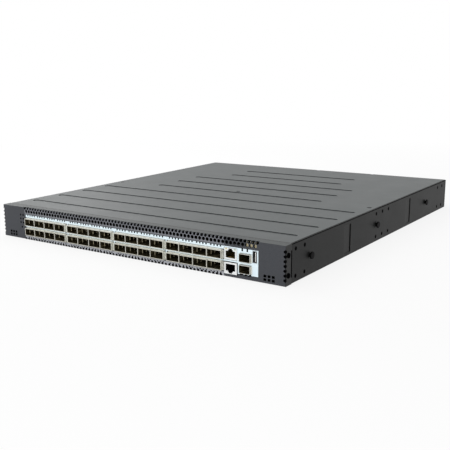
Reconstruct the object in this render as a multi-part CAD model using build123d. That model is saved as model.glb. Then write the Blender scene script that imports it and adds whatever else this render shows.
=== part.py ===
from build123d import *
import math
import os

# Bare-metal ethernet switch, one rack unit high, with hot-swap fan trays and power supplies behind.
# Millimetres. +X is right seen from the front, +Y is to the back, +Z is up. The origin lies on the
# resting plane, under the middle of the whole box from the port cages' noses to the rear handles.

# Envelope and sheet metal
WIDTH = 438.4
HEIGHT = 43.5
BODY_DEPTH = 515.0
REAR_REACH = 24.0
CAGE_REACH = 4.0
PANEL_SHEET = 1.2
BASE_SHEET = 1.2
COVER_SHEET = 1.0
FRAME_SHEET = 1.0
LABEL_SHEET = 0.3
BEND_RADIUS = 1.2
PANEL_BEND = 0.8
SLIDE_GAP = 0.4
SEAT_GAP = 0.3

# Flats that stand for a circle: what repeats is drawn with few faces
ROUND_SIDES = 10
BORE_SIDES = 16

# Folded front panel
FLANGE_DEPTH = 13.2
SEAM_GAP = 0.3
SEAM_SLOT = 0.9
SEAM_SLOT_MARGIN = 7.2
JOGGLE_LAP = 2.4
VENT_FLATS = 4.0
VENT_PITCH = 5.08
VENT_LEFT = -175.1
VENT_RIGHT = 186.0
VENT_FOLD_DROP = 1.0
VENT_ROW_RISE = 4.2
VENT_FOLD_DEPTH = 2.6
CORNER_VENT_COUNT = 7
CORNER_VENT_PITCH = 5.05
GRID_COLUMNS = 3
GRID_ROWS = 2
GRID_PITCH_X = 5.0
GRID_PITCH_Z = 3.9
GRID_HOLE_WIDTH = 3.4
GRID_HOLE_HEIGHT = 2.9
GRID_INSET = 19.2
GRID_TOP = 8.0

# Main board, which carries the port cages on both of its faces
BOARD_BOTTOM = 16.6
BOARD_SHEET = 2.5
BOARD_SIDE_GAP = 15.0
BOARD_SETBACK = 2.2
BOARD_REAR_GAP = 20.5

# Port cages: four groups of four ports, in two rows
GROUPS = 4
PORTS_PER_GROUP = 4
PORT_PITCH = 19.0
PORT_WIDTH = 17.5
PORT_HEIGHT = 8.35
PORT_FIELD_LEFT = -171.8
GROUP_PITCH = 79.8
CAGE_WALL = 0.6
CAGE_FOOT = 0.45
CAGE_DEPTH = 54.0
CAGE_FLOOR_DEPTH = 38.0
CUTOUT_MARGIN = 0.9
SPRING_SHEET = 0.15
SPRING_LENGTH = 4.6
SPRING_GAP = 0.15
CONNECTOR_WIDTH = 15.0
CONNECTOR_DEPTH = 13.0
CONNECTOR_HEIGHT = 6.8

# Management sockets right of the ports
JACK_CENTRE = 152.4
JACK_WIDTH = 16.4
JACK_HEIGHT = 12.9
JACK_DEPTH = 18.0
JACK_CAVITY_WIDTH = 11.9
JACK_CAVITY_HEIGHT = 7.6
JACK_CAVITY_DEPTH = 14.0
JACK_CAVITY_INSET = 1.9
JACK_TAB_WIDTHS = (6.4, 4.2)
JACK_TAB_STEP = 1.35
SFP_CENTRE = 171.45
SFP_WIDTH = 13.1
SFP_HEIGHT = 8.3
SFP_WALL = 0.4
SFP_FOOT = 0.4
SFP_DEPTH = 46.0
SFP_REACH = 3.0
SFP_BULKHEAD = 8.0
USB_CENTRE = 182.8
USB_MIDDLE = 26.6
USB_WIDTH = 5.4
USB_HEIGHT = 13.0
USB_WALL = 0.4
USB_DEPTH = 14.0
USB_TONGUE_SHEET = 1.8
USB_TONGUE_SIDE = 0.5
USB_TONGUE_MARGIN = 1.0
SOCKET_GAP = 0.4
SLOT_PLACES = (164.6, 170.5, 176.0)
SLOT_WIDTH = 3.5
SLOT_HEIGHT = 1.0
SLOT_MIDDLE = 4.6

# Label sheet round the ports
LABEL_LEFT = -177.5
LABEL_RIGHT = 187.0
LABEL_TOP = 33.8
LABEL_BOTTOM = 5.4
LABEL_LAP = 0.35

# Status lamps and reset at the left
LAMP_COLUMNS = (-184.3, -179.3)
LAMP_ROWS = (32.7, 27.6, 22.4)
LAMP_RADIUS = 0.9
LAMP_HOLDER_DEPTH = 9.0
RESET_X = -182.2
RESET_Z = 16.2
RESET_HOLE_RADIUS = 1.0
RESET_BUTTON_RADIUS = 1.5
RESET_BUTTON_LENGTH = 3.0
RESET_TRAVEL = 0.5
RESET_SWITCH_SIZE = 5.2
RESET_SWITCH_DEPTH = 4.0
LIGHT_BAR_DEPTH = 6.0
LIGHT_BAR_SHEET = 1.6
LIGHT_BAR_REACH = 5.2
LIGHT_BAR_DROP = 2.0

# Top cover and its sunk stiffening beads
COVER_SIDE_GAP = 0.5
COVER_LIP = 4.8
COVER_TONGUE = 7.0
BEAD_COUNT = 9
BEAD_FIRST = 45.5
BEAD_REAR_MARGIN = 74.3
BEAD_WIDTH = 9.0
BEAD_DEPTH = 0.8
BEAD_CORNER = 2.9
BEAD_HALF_LONG = 208.0
BEAD_HALF_MIDDLE = 139.0
BEAD_HALF_SHORT = 99.5
LONG_BEADS = 4
MIDDLE_BEADS = 3
REAR_NOTCHES = (0.0, 98.0)
REAR_NOTCH_WIDTH = 5.0
REAR_NOTCH_DEPTH = 2.0

# Side walls: ear and rail holes, lanced recesses, shouldered studs
EAR_HOLE_RADIUS = 1.75
EAR_LOW = 7.0
EAR_RISE = 29.5
FRONT_EAR_PLACES = (21.3, 41.3)
MIDDLE_EAR_PLACES = (236.0, 256.3, 276.6)
REAR_EAR_PLACES = (BODY_DEPTH - 39.0, BODY_DEPTH - 18.7)
LANCE_PLACES = (156.3, BODY_DEPTH - 158.7)
LANCE_RAMP = 16.0
LANCE_SLOT = 2.2
LANCE_DEPTH = 2.0
LANCE_MARGIN = 4.2
STUD_PLACES = (54.0, BODY_DEPTH / 2 - 20.5, BODY_DEPTH - 93.0)
STUD_HEIGHT = 22.3
STUD_NECK_RADIUS = 2.4
STUD_HEAD_RADIUS = 4.0
STUD_NECK_LENGTH = 1.8
STUD_HEAD_LENGTH = 1.4
HEM_INSET = 5.3
HEM_GROOVE_WIDTH = 0.6
HEM_GROOVE_DEPTH = 0.3

# Screws
SCREW_RADIUS = 1.5
SCREW_HEAD_RADIUS = 2.8
SCREW_HEAD_LENGTH = 0.9
SCREW_LENGTH = 5.0
SCREW_CLEARANCE = 0.1
COVER_SCREW_SINK = 0.65
COVER_SCREW_HEAD = 0.55
PANEL_SCREW_INSET = 5.7
PANEL_SCREW_HEIGHTS = (10.8, 32.3)
COVER_SCREW_INSET = 9.7
COVER_SCREW_SETBACK = 6.0
SIDE_SCREW_SETBACK = 25.0
COVER_BRACKET_WIDTH = 9.0

# Board furniture
STANDOFF_FLATS = 6.0
STANDOFF_INSET = 13.0
STANDOFF_FRONT = 66.0
STANDOFF_REAR_INSET = 8.2
CHIP_SIZE = 55.0
CHIP_HEIGHT = 4.0
CHIP_RIM = 5.5
CHIP_SHARE = 0.59
SINK_WIDTH = 118.0
SINK_DEPTH = 92.0
SINK_BASE = 5.0
SINK_FINS = 16
SINK_FIN_SHEET = 0.9
CPU_BOARD_INSET = 10.0
CPU_BOARD_WIDTH = 95.0
CPU_BOARD_SHARE = 0.45
CPU_BOARD_DEPTH = 95.0
CPU_BOARD_SHEET = 1.6
CPU_BOARD_LIFT = 5.0
CPU_SINK_WIDTH = 62.0
CPU_SINK_DEPTH = 50.0
CPU_SINK_FINS = 10
MEMORY_WIDTH = 67.6
MEMORY_DEPTH = 30.0
MEMORY_SHEET = 3.6
INDUCTOR_COUNT = 8
INDUCTOR_SIZE = 10.0
INDUCTOR_CORNER = 1.5
INDUCTOR_HEIGHT = 7.0
INDUCTOR_PITCH = 13.0
SINK_COVER_GAP = 1.2

# Rear bays
FAN_COUNT = 6
PSU_WIDTH = 54.5
PSU_HEIGHT = 39.6
PSU_DEPTH = 228.0
TRAY_DEPTH = 88.0
TRAY_SHEET = 1.0
LOW_BOARD_SHEET = 1.6
LOW_BOARD_LIFT = 3.0
FAN_BOARD_DEPTH = 20.0
POWER_BOARD_DEPTH = 26.0

# Fans
FAN_TOP_GAP = 0.9
FAN_LENGTH = 28.0
FAN_FRAME_SHEET = 0.8
FAN_SETBACK = 6.0
ROTOR_GAP = 0.5
ROTOR_HUB_RADIUS = 9.5
ROTOR_LENGTH = 17.0
ROTOR_BLADES = 5
ROTOR_CHORD = 15.0
ROTOR_BLADE_SHEET = 1.1
ROTOR_PITCH = 42.0
ROTOR_ROOT_SINK = 3.0
MOTOR_BASE_LENGTH = 4.0
STRUT_WIDTH = 1.8
FACE_HOLE_MARGIN = 4.0

# Handles and latches
TRAY_HANDLE_MARGIN = 1.5
PSU_HANDLE_SPAN = 30.0
HANDLE_SHEET = 2.0
HANDLE_HEIGHT = 11.0
HANDLE_CORNER = 5.0
LATCH_SHEET = 1.6
LATCH_HEIGHT = 13.0
LATCH_PIVOT_INSET = 22.0
LATCH_REACH = 15.0
LATCH_EYE_HALF = 2.2
LATCH_PIN_RADIUS = 1.0
LATCH_PIN_GAP = 0.06
LATCH_WALL_GAP = 3.4
LATCH_BAY = 11.6
LATCH_NOSE_INSET = 9.0
LATCH_NOSE_LENGTH = 5.0
LATCH_PAD_SIZE = 3.6
LATCH_PAD_SHEET = 4.0
EAR_SHEET = 1.6
PLUG_WIDTH = 14.0
PLUG_HEIGHT = 7.0
PLUG_DEPTH = 9.0

# Power inlet
INLET_WIDTH = 27.0
INLET_HEIGHT = 20.0
INLET_DEPTH = 22.0
INLET_CAVITY_WIDTH = 24.2
INLET_CAVITY_HEIGHT = 16.6
INLET_CAVITY_DEPTH = 17.0
INLET_CORNER = 4.2
INLET_PIN_WIDTH = 2.0
INLET_PIN_HEIGHT = 4.0
INLET_PIN_LENGTH = 11.5
INLET_PIN_SPREAD = 7.0
INLET_PIN_RAISE = 2.0
INLET_FROM_SIDE = 3.2
PSU_SLOTS = 4
PSU_SLOT_WIDTH = 1.6
PSU_SLOT_PITCH = 3.0
PSU_SLOT_HEIGHT = 24.0
PSU_SLOT_DEPTH = 1.5

# Places worked out from the sizes above
Y_CAGE = -(CAGE_REACH + BODY_DEPTH + REAR_REACH) / 2
Y_FACE = Y_CAGE + CAGE_REACH
Y_LABEL = Y_FACE - LABEL_SHEET
Y_FLANGE = Y_FACE + FLANGE_DEPTH
Y_BODY = Y_FLANGE + SEAM_GAP
Y_REAR = Y_FACE + BODY_DEPTH
HALF = WIDTH / 2
BOARD_TOP = BOARD_BOTTOM + BOARD_SHEET
BOARD_HALF_WIDTH = HALF - BASE_SHEET - BOARD_SIDE_GAP
POWER_BOARD_FRONT = BODY_DEPTH - PSU_DEPTH - SEAT_GAP - POWER_BOARD_DEPTH
BOARD_DEPTH = POWER_BOARD_FRONT - BOARD_REAR_GAP - BOARD_SETBACK
CHIP_FROM_FACE = BOARD_SETBACK + CHIP_SHARE * BOARD_DEPTH
CPU_BOARD_FROM_FACE = BOARD_SETBACK + CPU_BOARD_SHARE * BOARD_DEPTH
CPU_BOARD_LEFT = BOARD_HALF_WIDTH - CPU_BOARD_INSET - CPU_BOARD_WIDTH
STANDOFF_COLUMNS = [place * (BOARD_HALF_WIDTH - STANDOFF_INSET) for place in (-1, -1 / 3, 1 / 3, 1)]
STANDOFF_ROWS = (STANDOFF_FRONT, BOARD_SETBACK + BOARD_DEPTH - STANDOFF_REAR_INSET)
COVER_SCREW_PLACES = ((0, POWER_BOARD_FRONT - COVER_SCREW_SETBACK),
                      (COVER_SCREW_INSET - HALF, POWER_BOARD_FRONT - SIDE_SCREW_SETBACK),
                      (HALF - COVER_SCREW_INSET, POWER_BOARD_FRONT - SIDE_SCREW_SETBACK))
BEAD_PITCH = (BODY_DEPTH - BEAD_REAR_MARGIN - BEAD_FIRST) / (BEAD_COUNT - 1)
GROUP_WIDTH = (PORTS_PER_GROUP - 1) * PORT_PITCH + PORT_WIDTH
COVER_UNDER = HEIGHT - COVER_SHEET
BEAD_UNDER = COVER_UNDER - BEAD_DEPTH
LIP_INNER = HALF - BASE_SHEET - COVER_SIDE_GAP - COVER_SHEET
BAY_TOP = BEAD_UNDER - SEAT_GAP
PSU_BAY_OUTER = LIP_INNER - SEAT_GAP
PSU_BAY_INNER = PSU_BAY_OUTER - PSU_WIDTH - 2 * SLIDE_GAP
FAN_FIELD = PSU_BAY_INNER - FRAME_SHEET
FAN_BAY = (2 * FAN_FIELD - (FAN_COUNT - 1) * FRAME_SHEET) / FAN_COUNT
FAN_BAY_PITCH = FAN_BAY + FRAME_SHEET
TRAY_WIDTH = FAN_BAY - 2 * SLIDE_GAP
TRAY_BOTTOM = BASE_SHEET + SEAT_GAP
TRAY_HEIGHT = BAY_TOP - TRAY_BOTTOM
FAN_SIZE = min(TRAY_HEIGHT - TRAY_SHEET - FAN_TOP_GAP, TRAY_WIDTH - 2 * TRAY_SHEET - LATCH_BAY)
FAN_BORE_RADIUS = FAN_SIZE / 2 - FAN_FRAME_SHEET
ROTOR_RADIUS = FAN_BORE_RADIUS - ROTOR_GAP
TRAY_HANDLE_SPAN = FAN_SIZE - 2 * TRAY_HANDLE_MARGIN
FACE_HOLE_RADIUS = FAN_SIZE / 2 - FACE_HOLE_MARGIN
FAN_MIDDLE = TRAY_BOTTOM + TRAY_SHEET + FAN_SIZE / 2
PSU_MIDDLE = TRAY_BOTTOM + PSU_HEIGHT / 2


def block(x0, x1, y0, y1, z0, z1):
    """A plain block between its six limits."""
    return Pos((x0 + x1) / 2, (y0 + y1) / 2, (z0 + z1) / 2) * Box(x1 - x0, y1 - y0, z1 - z0)


def rect(u0, u1, v0, v1):
    """A rectangle between its four limits."""
    return Pos((u0 + u1) / 2, (v0 + v1) / 2) * Rectangle(u1 - u0, v1 - v0)


def along_y(profile, y0, y1):
    """Extrudes a profile drawn in X and Z from y0 back to y1."""
    plane = Plane(origin=(0, y1, 0), x_dir=(1, 0, 0), z_dir=(0, -1, 0))
    return extrude(plane * profile, amount=y1 - y0)


def along_x(profile, x0, x1):
    """Extrudes a profile drawn in Y and Z from x0 to x1."""
    plane = Plane(origin=(x0, 0, 0), x_dir=(0, 1, 0), z_dir=(1, 0, 0))
    return extrude(plane * profile, amount=x1 - x0)


def along_z(profile, z0, z1):
    """Extrudes a profile drawn in X and Y from z0 up to z1."""
    return extrude(Pos(0, 0, z0) * profile, amount=z1 - z0)


def hexagon(flats):
    """A hexagon with a corner at its top, stated across its flats."""
    return RegularPolygon(flats / math.sqrt(3), 6, rotation=30)


def disc(radius, sides=ROUND_SIDES):
    """A round outline in equal flats, stated by the circle inside them."""
    return RegularPolygon(radius, sides, major_radius=False)


def rod(radius, start, end):
    """A round bar from one point to another."""
    axis = Vector(*end) - Vector(*start)
    return extrude(Plane(origin=start, z_dir=axis) * disc(radius), amount=axis.length)


def bore(radius, start, end):
    """A truly round bar, for cutting the holes that other products are fastened to."""
    axis = Vector(*end) - Vector(*start)
    return extrude(Plane(origin=start, z_dir=axis) * Circle(radius), amount=axis.length)


def group_left(group):
    """X of the first port opening's left edge in a group of ports."""
    return PORT_FIELD_LEFT + group * GROUP_PITCH


def row_limits(upper):
    """Z of the bottom and top of the port openings of one row."""
    if upper:
        low = BOARD_TOP + CAGE_FOOT + CAGE_WALL
        return low, low + PORT_HEIGHT
    high = BOARD_BOTTOM - CAGE_FOOT - CAGE_WALL
    return high - PORT_HEIGHT, high


def sfp_limits(upper):
    """Z of the bottom and top of one small-module opening."""
    if upper:
        low = BOARD_TOP + SFP_FOOT + SFP_WALL
        return low, low + SFP_HEIGHT
    high = BOARD_BOTTOM - SFP_FOOT - SFP_WALL
    return high - SFP_HEIGHT, high


def jack_limits(upper):
    """Z of the bottom and top of one network jack's face."""
    if upper:
        return BOARD_TOP + SEAT_GAP, BOARD_TOP + SEAT_GAP + JACK_HEIGHT
    return BOARD_BOTTOM - SEAT_GAP - JACK_HEIGHT, BOARD_BOTTOM - SEAT_GAP


def socket_windows(gap):
    """Outlines of every socket that comes through the panel, each wider than the socket by a gap."""
    windows = []
    for upper in (True, False):
        low, high = row_limits(upper)
        for group in range(GROUPS):
            left = group_left(group) - CAGE_WALL
            right = group_left(group) + GROUP_WIDTH + CAGE_WALL
            windows.append(rect(left - gap, right + gap, low - CAGE_WALL - gap, high + CAGE_WALL + gap))
        low, high = sfp_limits(upper)
        half = SFP_WIDTH / 2 + SFP_WALL
        windows.append(rect(SFP_CENTRE - half - SOCKET_GAP, SFP_CENTRE + half + SOCKET_GAP,
                            low - SFP_WALL - SOCKET_GAP, high + SFP_WALL + SOCKET_GAP))
        low, high = jack_limits(upper)
        half = JACK_WIDTH / 2 + SOCKET_GAP
        windows.append(rect(JACK_CENTRE - half, JACK_CENTRE + half, low - SOCKET_GAP, high + SOCKET_GAP))
    windows.append(Pos(USB_CENTRE, USB_MIDDLE) * Rectangle(USB_WIDTH + SOCKET_GAP, USB_HEIGHT + SOCKET_GAP))
    for place in SLOT_PLACES:
        windows.append(Pos(place, SLOT_MIDDLE) * Rectangle(SLOT_WIDTH, SLOT_HEIGHT))
    return windows


def vent_row(left, right, height, offset):
    """Hexagons in a row at one height, starting half a pitch along where offset is set."""
    start = left + offset * VENT_PITCH / 2
    count = int((right - start) / VENT_PITCH) + 1
    return [Pos(start + i * VENT_PITCH, height) * hexagon(VENT_FLATS) for i in range(count)]


def corner_vents():
    """Hexagonal prisms that pierce both upright folds on the slant."""
    prisms = []
    first = HEIGHT / 2 - (CORNER_VENT_COUNT - 1) / 2 * CORNER_VENT_PITCH
    for side in (-1, 1):
        for i in range(CORNER_VENT_COUNT):
            spot = (side * HALF, Y_FACE, first + i * CORNER_VENT_PITCH)
            plane = Plane(origin=spot, x_dir=(0, 0, 1), z_dir=(-side, 1, 0))
            prisms.append(extrude(plane * RegularPolygon(VENT_FLATS / 2, 6), amount=VENT_FLATS, both=True))
    return prisms


def corner_grids():
    """The small square holes low at both ends of the panel."""
    holes = []
    for side in (-1, 1):
        for column in range(GRID_COLUMNS):
            for row in range(GRID_ROWS):
                x = side * (HALF - GRID_INSET - (column - 1) * GRID_PITCH_X)
                z = GRID_TOP - row * GRID_PITCH_Z
                holes.append(Pos(x, z) * Rectangle(GRID_HOLE_WIDTH, GRID_HOLE_HEIGHT))
    return holes


def front_panel():
    """The folded front panel: one sheet with flanges all round, vents, windows and lamp holes."""
    pan = block(-HALF, HALF, Y_FACE, Y_FLANGE, 0, HEIGHT)
    bends = pan.faces().sort_by(Axis.Y)[0].edges().sort_by(Axis.Z)[:-1]
    pan = chamfer(bends, PANEL_BEND)
    pan -= block(-HALF + PANEL_SHEET, HALF - PANEL_SHEET, Y_FACE + PANEL_SHEET, Y_FLANGE + 1,
                 PANEL_SHEET, HEIGHT - PANEL_SHEET)
    fold_row = HEIGHT - VENT_FOLD_DROP
    faces = socket_windows(CUTOUT_MARGIN) + corner_grids()
    faces += vent_row(VENT_LEFT, VENT_RIGHT, fold_row - VENT_ROW_RISE, 1)
    faces += [Pos(x, z) * disc(LAMP_RADIUS) for x in LAMP_COLUMNS for z in LAMP_ROWS]
    faces.append(Pos(RESET_X, RESET_Z) * disc(RESET_HOLE_RADIUS))
    cuts = [along_y(face, Y_FACE - 1, Y_FACE + PANEL_SHEET + 1) for face in faces]
    folds = vent_row(VENT_LEFT, VENT_RIGHT, fold_row, 0)
    cuts += [along_y(face, Y_FACE - 1, Y_FACE + VENT_FOLD_DEPTH) for face in folds]
    cuts += corner_vents()
    for side in (-1, 1):
        cuts.append(block(side * HALF - BASE_SHEET, side * HALF + BASE_SHEET, Y_FLANGE - SEAM_SLOT,
                          Y_FLANGE + 1, SEAM_SLOT_MARGIN, HEIGHT - SEAM_SLOT_MARGIN))
        for height in PANEL_SCREW_HEIGHTS:
            spot = Y_FACE + PANEL_SCREW_INSET
            cuts.append(rod(SCREW_RADIUS + SEAT_GAP, (side * (HALF - 2 * PANEL_SHEET), spot, height),
                            (side * (HALF + 1), spot, height)))
    return pan - cuts


def label_overlay():
    """The thin label sheet on the panel, open round every socket."""
    sheet = rect(LABEL_LEFT, LABEL_RIGHT, LABEL_BOTTOM, LABEL_TOP)
    right_port = group_left(GROUPS - 1) + GROUP_WIDTH + CAGE_WALL
    below = row_limits(False)[1] + CAGE_WALL
    sheet -= rect(LABEL_LEFT - 1, right_port, LABEL_BOTTOM - 1, below - PORT_HEIGHT)
    for window in socket_windows(CUTOUT_MARGIN + LABEL_LAP):
        sheet -= window
    pieces = along_y(sheet, Y_LABEL, Y_FACE).solids().sort_by(SortBy.VOLUME)
    return pieces[-1]


def folded_trough(inset, sheet, top):
    """Profile of a folded trough that stands an inset inside the chassis width and above its bottom."""
    outer = rect(-HALF + inset, HALF - inset, inset, top)
    outer = fillet(outer.vertices().group_by(Axis.Y)[0], BEND_RADIUS)
    return outer - rect(-HALF + inset + sheet, HALF - inset - sheet, inset + sheet, top + 1)


def ear_spots():
    """Y and Z of every fastening hole in one side wall."""
    places = FRONT_EAR_PLACES + MIDDLE_EAR_PLACES + REAR_EAR_PLACES
    return [(Y_FACE + place, EAR_LOW + rise) for place in places for rise in (0, EAR_RISE)]


def lance(side, place):
    """Window and ramp of one lanced recess in a side wall, as a cut and a piece to add."""
    back = Y_FACE + place
    low, high = LANCE_MARGIN, HEIGHT - COVER_LIP - 2 * SEAT_GAP
    x = side * HALF
    inner = side * (HALF - BASE_SHEET)
    cut = block(min(x, inner), max(x, inner), back - LANCE_RAMP, back + LANCE_SLOT, low, high)
    slope = make_face(Polyline((x, back - LANCE_RAMP), (x - side * LANCE_DEPTH, back),
                               (inner - side * LANCE_DEPTH, back), (inner, back - LANCE_RAMP), close=True))
    return cut, along_z(slope, low, high)


def chassis_base():
    """The folded base: floor and side walls in one sheet, with a joggled front edge for the panel."""
    top = HEIGHT - SEAT_GAP
    base = along_y(folded_trough(0, BASE_SHEET, top), Y_BODY, Y_REAR)
    joggle = folded_trough(PANEL_SHEET, BASE_SHEET, HEIGHT - COVER_LIP - SEAT_GAP)
    base += along_y(joggle, Y_FACE + PANEL_SHEET + SEAT_GAP, Y_BODY + JOGGLE_LAP)
    for side in (-1, 1):
        for place in LANCE_PLACES:
            cut, ramp = lance(side, place)
            base = base - cut + ramp
    cuts = []
    for side in (-1, 1):
        inner, outer = side * (HALF - 2 * BASE_SHEET - 1), side * (HALF + 1)
        for y, z in ear_spots():
            cuts.append(bore(EAR_HOLE_RADIUS, (inner, y, z), (outer, y, z)))
        for height in PANEL_SCREW_HEIGHTS:
            y = Y_FACE + PANEL_SCREW_INSET
            cuts.append(rod(SCREW_RADIUS + SCREW_CLEARANCE, (inner, y, height), (outer, y, height)))
        groove = Y_REAR - HEM_INSET
        cuts.append(block(side * HALF - HEM_GROOVE_DEPTH, side * HALF + HEM_GROOVE_DEPTH, groove,
                          groove + HEM_GROOVE_WIDTH, 0, HEIGHT))
    return base - cuts


def bead_half(index):
    """Half the length of one bead: the rear ones stop short of the power supplies."""
    if index < LONG_BEADS:
        return BEAD_HALF_LONG
    if index < LONG_BEADS + MIDDLE_BEADS:
        return BEAD_HALF_MIDDLE
    return BEAD_HALF_SHORT


def top_cover():
    """The lid: a sheet with a tongue under the panel flange and nine sunk beads, and two side rails."""
    edge = HALF - BASE_SHEET - COVER_SIDE_GAP
    cover = block(-edge, edge, Y_BODY, Y_REAR, COVER_UNDER, HEIGHT)
    tongue_top = HEIGHT - PANEL_SHEET - SEAT_GAP
    tongue_edge = HALF - PANEL_SHEET - BASE_SHEET - COVER_SIDE_GAP
    step_back = Y_BODY + COVER_SHEET
    cover += block(-tongue_edge, tongue_edge, Y_FLANGE - COVER_TONGUE, step_back,
                   tongue_top - COVER_SHEET, tongue_top)
    cover += block(-tongue_edge, tongue_edge, Y_BODY, step_back, tongue_top - COVER_SHEET, HEIGHT)
    for i in range(BEAD_COUNT):
        y = Y_FACE + BEAD_FIRST + i * BEAD_PITCH
        length = 2 * bead_half(i)
        below = Rectangle(length + 2 * COVER_SHEET, BEAD_WIDTH + 2 * COVER_SHEET)
        cover += Pos(0, y, 0) * along_z(below, BEAD_UNDER, COVER_UNDER)
        sunk = Rectangle(length, BEAD_WIDTH)
        sunk = chamfer(sunk.vertices(), BEAD_CORNER)
        cover -= Pos(0, y, 0) * along_z(sunk, HEIGHT - BEAD_DEPTH, HEIGHT + 1)
    for x in REAR_NOTCHES:
        cover -= block(x - REAR_NOTCH_WIDTH / 2, x + REAR_NOTCH_WIDTH / 2, Y_REAR - REAR_NOTCH_DEPTH,
                       Y_REAR + 1, BEAD_UNDER, HEIGHT + 1)
    for x, place in COVER_SCREW_PLACES:
        y = Y_FACE + place
        cover -= rod(SCREW_RADIUS + SEAT_GAP, (x, y, COVER_UNDER - 1), (x, y, HEIGHT + 1))
        cover -= rod(SCREW_HEAD_RADIUS + SEAT_GAP, (x, y, HEIGHT - COVER_SCREW_SINK), (x, y, HEIGHT + 1))
    rails = [block(*sorted((side * (edge - COVER_SHEET), side * edge)), Y_BODY, Y_REAR,
                   HEIGHT - COVER_LIP, COVER_UNDER) for side in (-1, 1)]
    return [cover] + rails


def cage(group, upper):
    """One ganged cage of four ports: a folded trough, a lid, three dividers and a back."""
    low, high = row_limits(upper)
    left = group_left(group)
    right = left + GROUP_WIDTH
    back = Y_CAGE + CAGE_DEPTH
    foot = BOARD_TOP if upper else BOARD_BOTTOM
    near, far = (low - CAGE_WALL, high) if upper else (high, low - CAGE_WALL)
    z0, z1 = (foot, high) if upper else (low, foot)
    walls = rect(left - CAGE_WALL, left, z0, z1) + rect(right, right + CAGE_WALL, z0, z1)
    floor = rect(left, right, near, near + CAGE_WALL)
    board_front = Y_FACE + BOARD_SETBACK
    trough = along_y(walls, board_front, back) + along_y(floor, Y_CAGE, Y_CAGE + CAGE_FLOOR_DEPTH)
    z2, z3 = (low - CAGE_WALL, high) if upper else (low, high + CAGE_WALL)
    nose = rect(left - CAGE_WALL, left, z2, z3) + rect(right, right + CAGE_WALL, z2, z3)
    trough += along_y(nose, Y_CAGE, board_front)
    lid = block(left - CAGE_WALL, right + CAGE_WALL, Y_CAGE, back, far, far + CAGE_WALL)
    pieces = [trough, lid]
    for i in range(1, PORTS_PER_GROUP):
        x = left + i * PORT_PITCH
        middle = x - (PORT_PITCH - PORT_WIDTH) / 2
        blade = rect(middle - CAGE_WALL / 2, middle + CAGE_WALL / 2, low, high)
        nose = rect(x - (PORT_PITCH - PORT_WIDTH), x, low, high)
        divider = along_y(nose, Y_CAGE, Y_CAGE + CAGE_WALL)
        divider += along_y(blade, Y_CAGE + CAGE_WALL, back - CAGE_WALL)
        pieces.append(divider)
    pieces.append(block(left, right, back - CAGE_WALL, back, z0 + CAGE_FOOT if upper else z0,
                        z1 if upper else z1 - CAGE_FOOT))
    return pieces


def spring_strip(length, reach):
    """A bowed grounding spring, drawn along X with its flat foot on Z = 0 and its length in Y."""
    start, end = 0, SPRING_LENGTH
    crest = start + SPRING_LENGTH * 0.55
    line = Polyline((start, 0), (crest, reach), (end, 0), (end, SPRING_SHEET), (crest, reach + SPRING_SHEET),
                    (start, SPRING_SHEET), close=True)
    return along_x(make_face(line), -length / 2, length / 2)


def cage_springs():
    """Grounding springs above and below the nose of every cage."""
    springs = []
    reach = CUTOUT_MARGIN - SPRING_GAP - SPRING_SHEET
    y = Y_FACE - SPRING_LENGTH / 2
    for upper in (True, False):
        low, high = row_limits(upper)
        for group in range(GROUPS):
            centre = group_left(group) + GROUP_WIDTH / 2
            strip = spring_strip(GROUP_WIDTH, reach)
            springs.append(Pos(centre, y, high + CAGE_WALL) * strip)
            springs.append(Pos(centre, y, low - CAGE_WALL) * strip.mirror(Plane.XY))
    return springs


def port_connectors():
    """The edge connectors on the board, one at the back of every port."""
    connectors = []
    front = Y_CAGE + CAGE_FLOOR_DEPTH + SEAT_GAP
    for upper in (True, False):
        low = BOARD_TOP if upper else BOARD_BOTTOM - CONNECTOR_HEIGHT
        for group in range(GROUPS):
            for port in range(PORTS_PER_GROUP):
                left = group_left(group) + port * PORT_PITCH + (PORT_WIDTH - CONNECTOR_WIDTH) / 2
                connectors.append(block(left, left + CONNECTOR_WIDTH, front, front + CONNECTOR_DEPTH,
                                        low, low + CONNECTOR_HEIGHT))
    return connectors


def sfp_cage(upper):
    """One small-module cage: a square tube on feet with a bulkhead at its back."""
    low, high = sfp_limits(upper)
    half = SFP_WIDTH / 2
    outer = rect(SFP_CENTRE - half - SFP_WALL, SFP_CENTRE + half + SFP_WALL, low - SFP_WALL, high + SFP_WALL)
    inner = rect(SFP_CENTRE - half, SFP_CENTRE + half, low, high)
    front = Y_FACE - SFP_REACH
    tube = along_y(outer - inner, front, front + SFP_DEPTH)
    tube += along_y(inner, front + SFP_DEPTH - SFP_BULKHEAD, front + SFP_DEPTH)
    z0, z1 = (BOARD_TOP, low - SFP_WALL) if upper else (high + SFP_WALL, BOARD_BOTTOM)
    for side in (-1, 1):
        x = SFP_CENTRE + side * half
        tube += block(x - SFP_WALL, x + SFP_WALL, Y_FACE + 2 * BOARD_SETBACK, front + SFP_DEPTH, z0, z1)
    return tube


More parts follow.
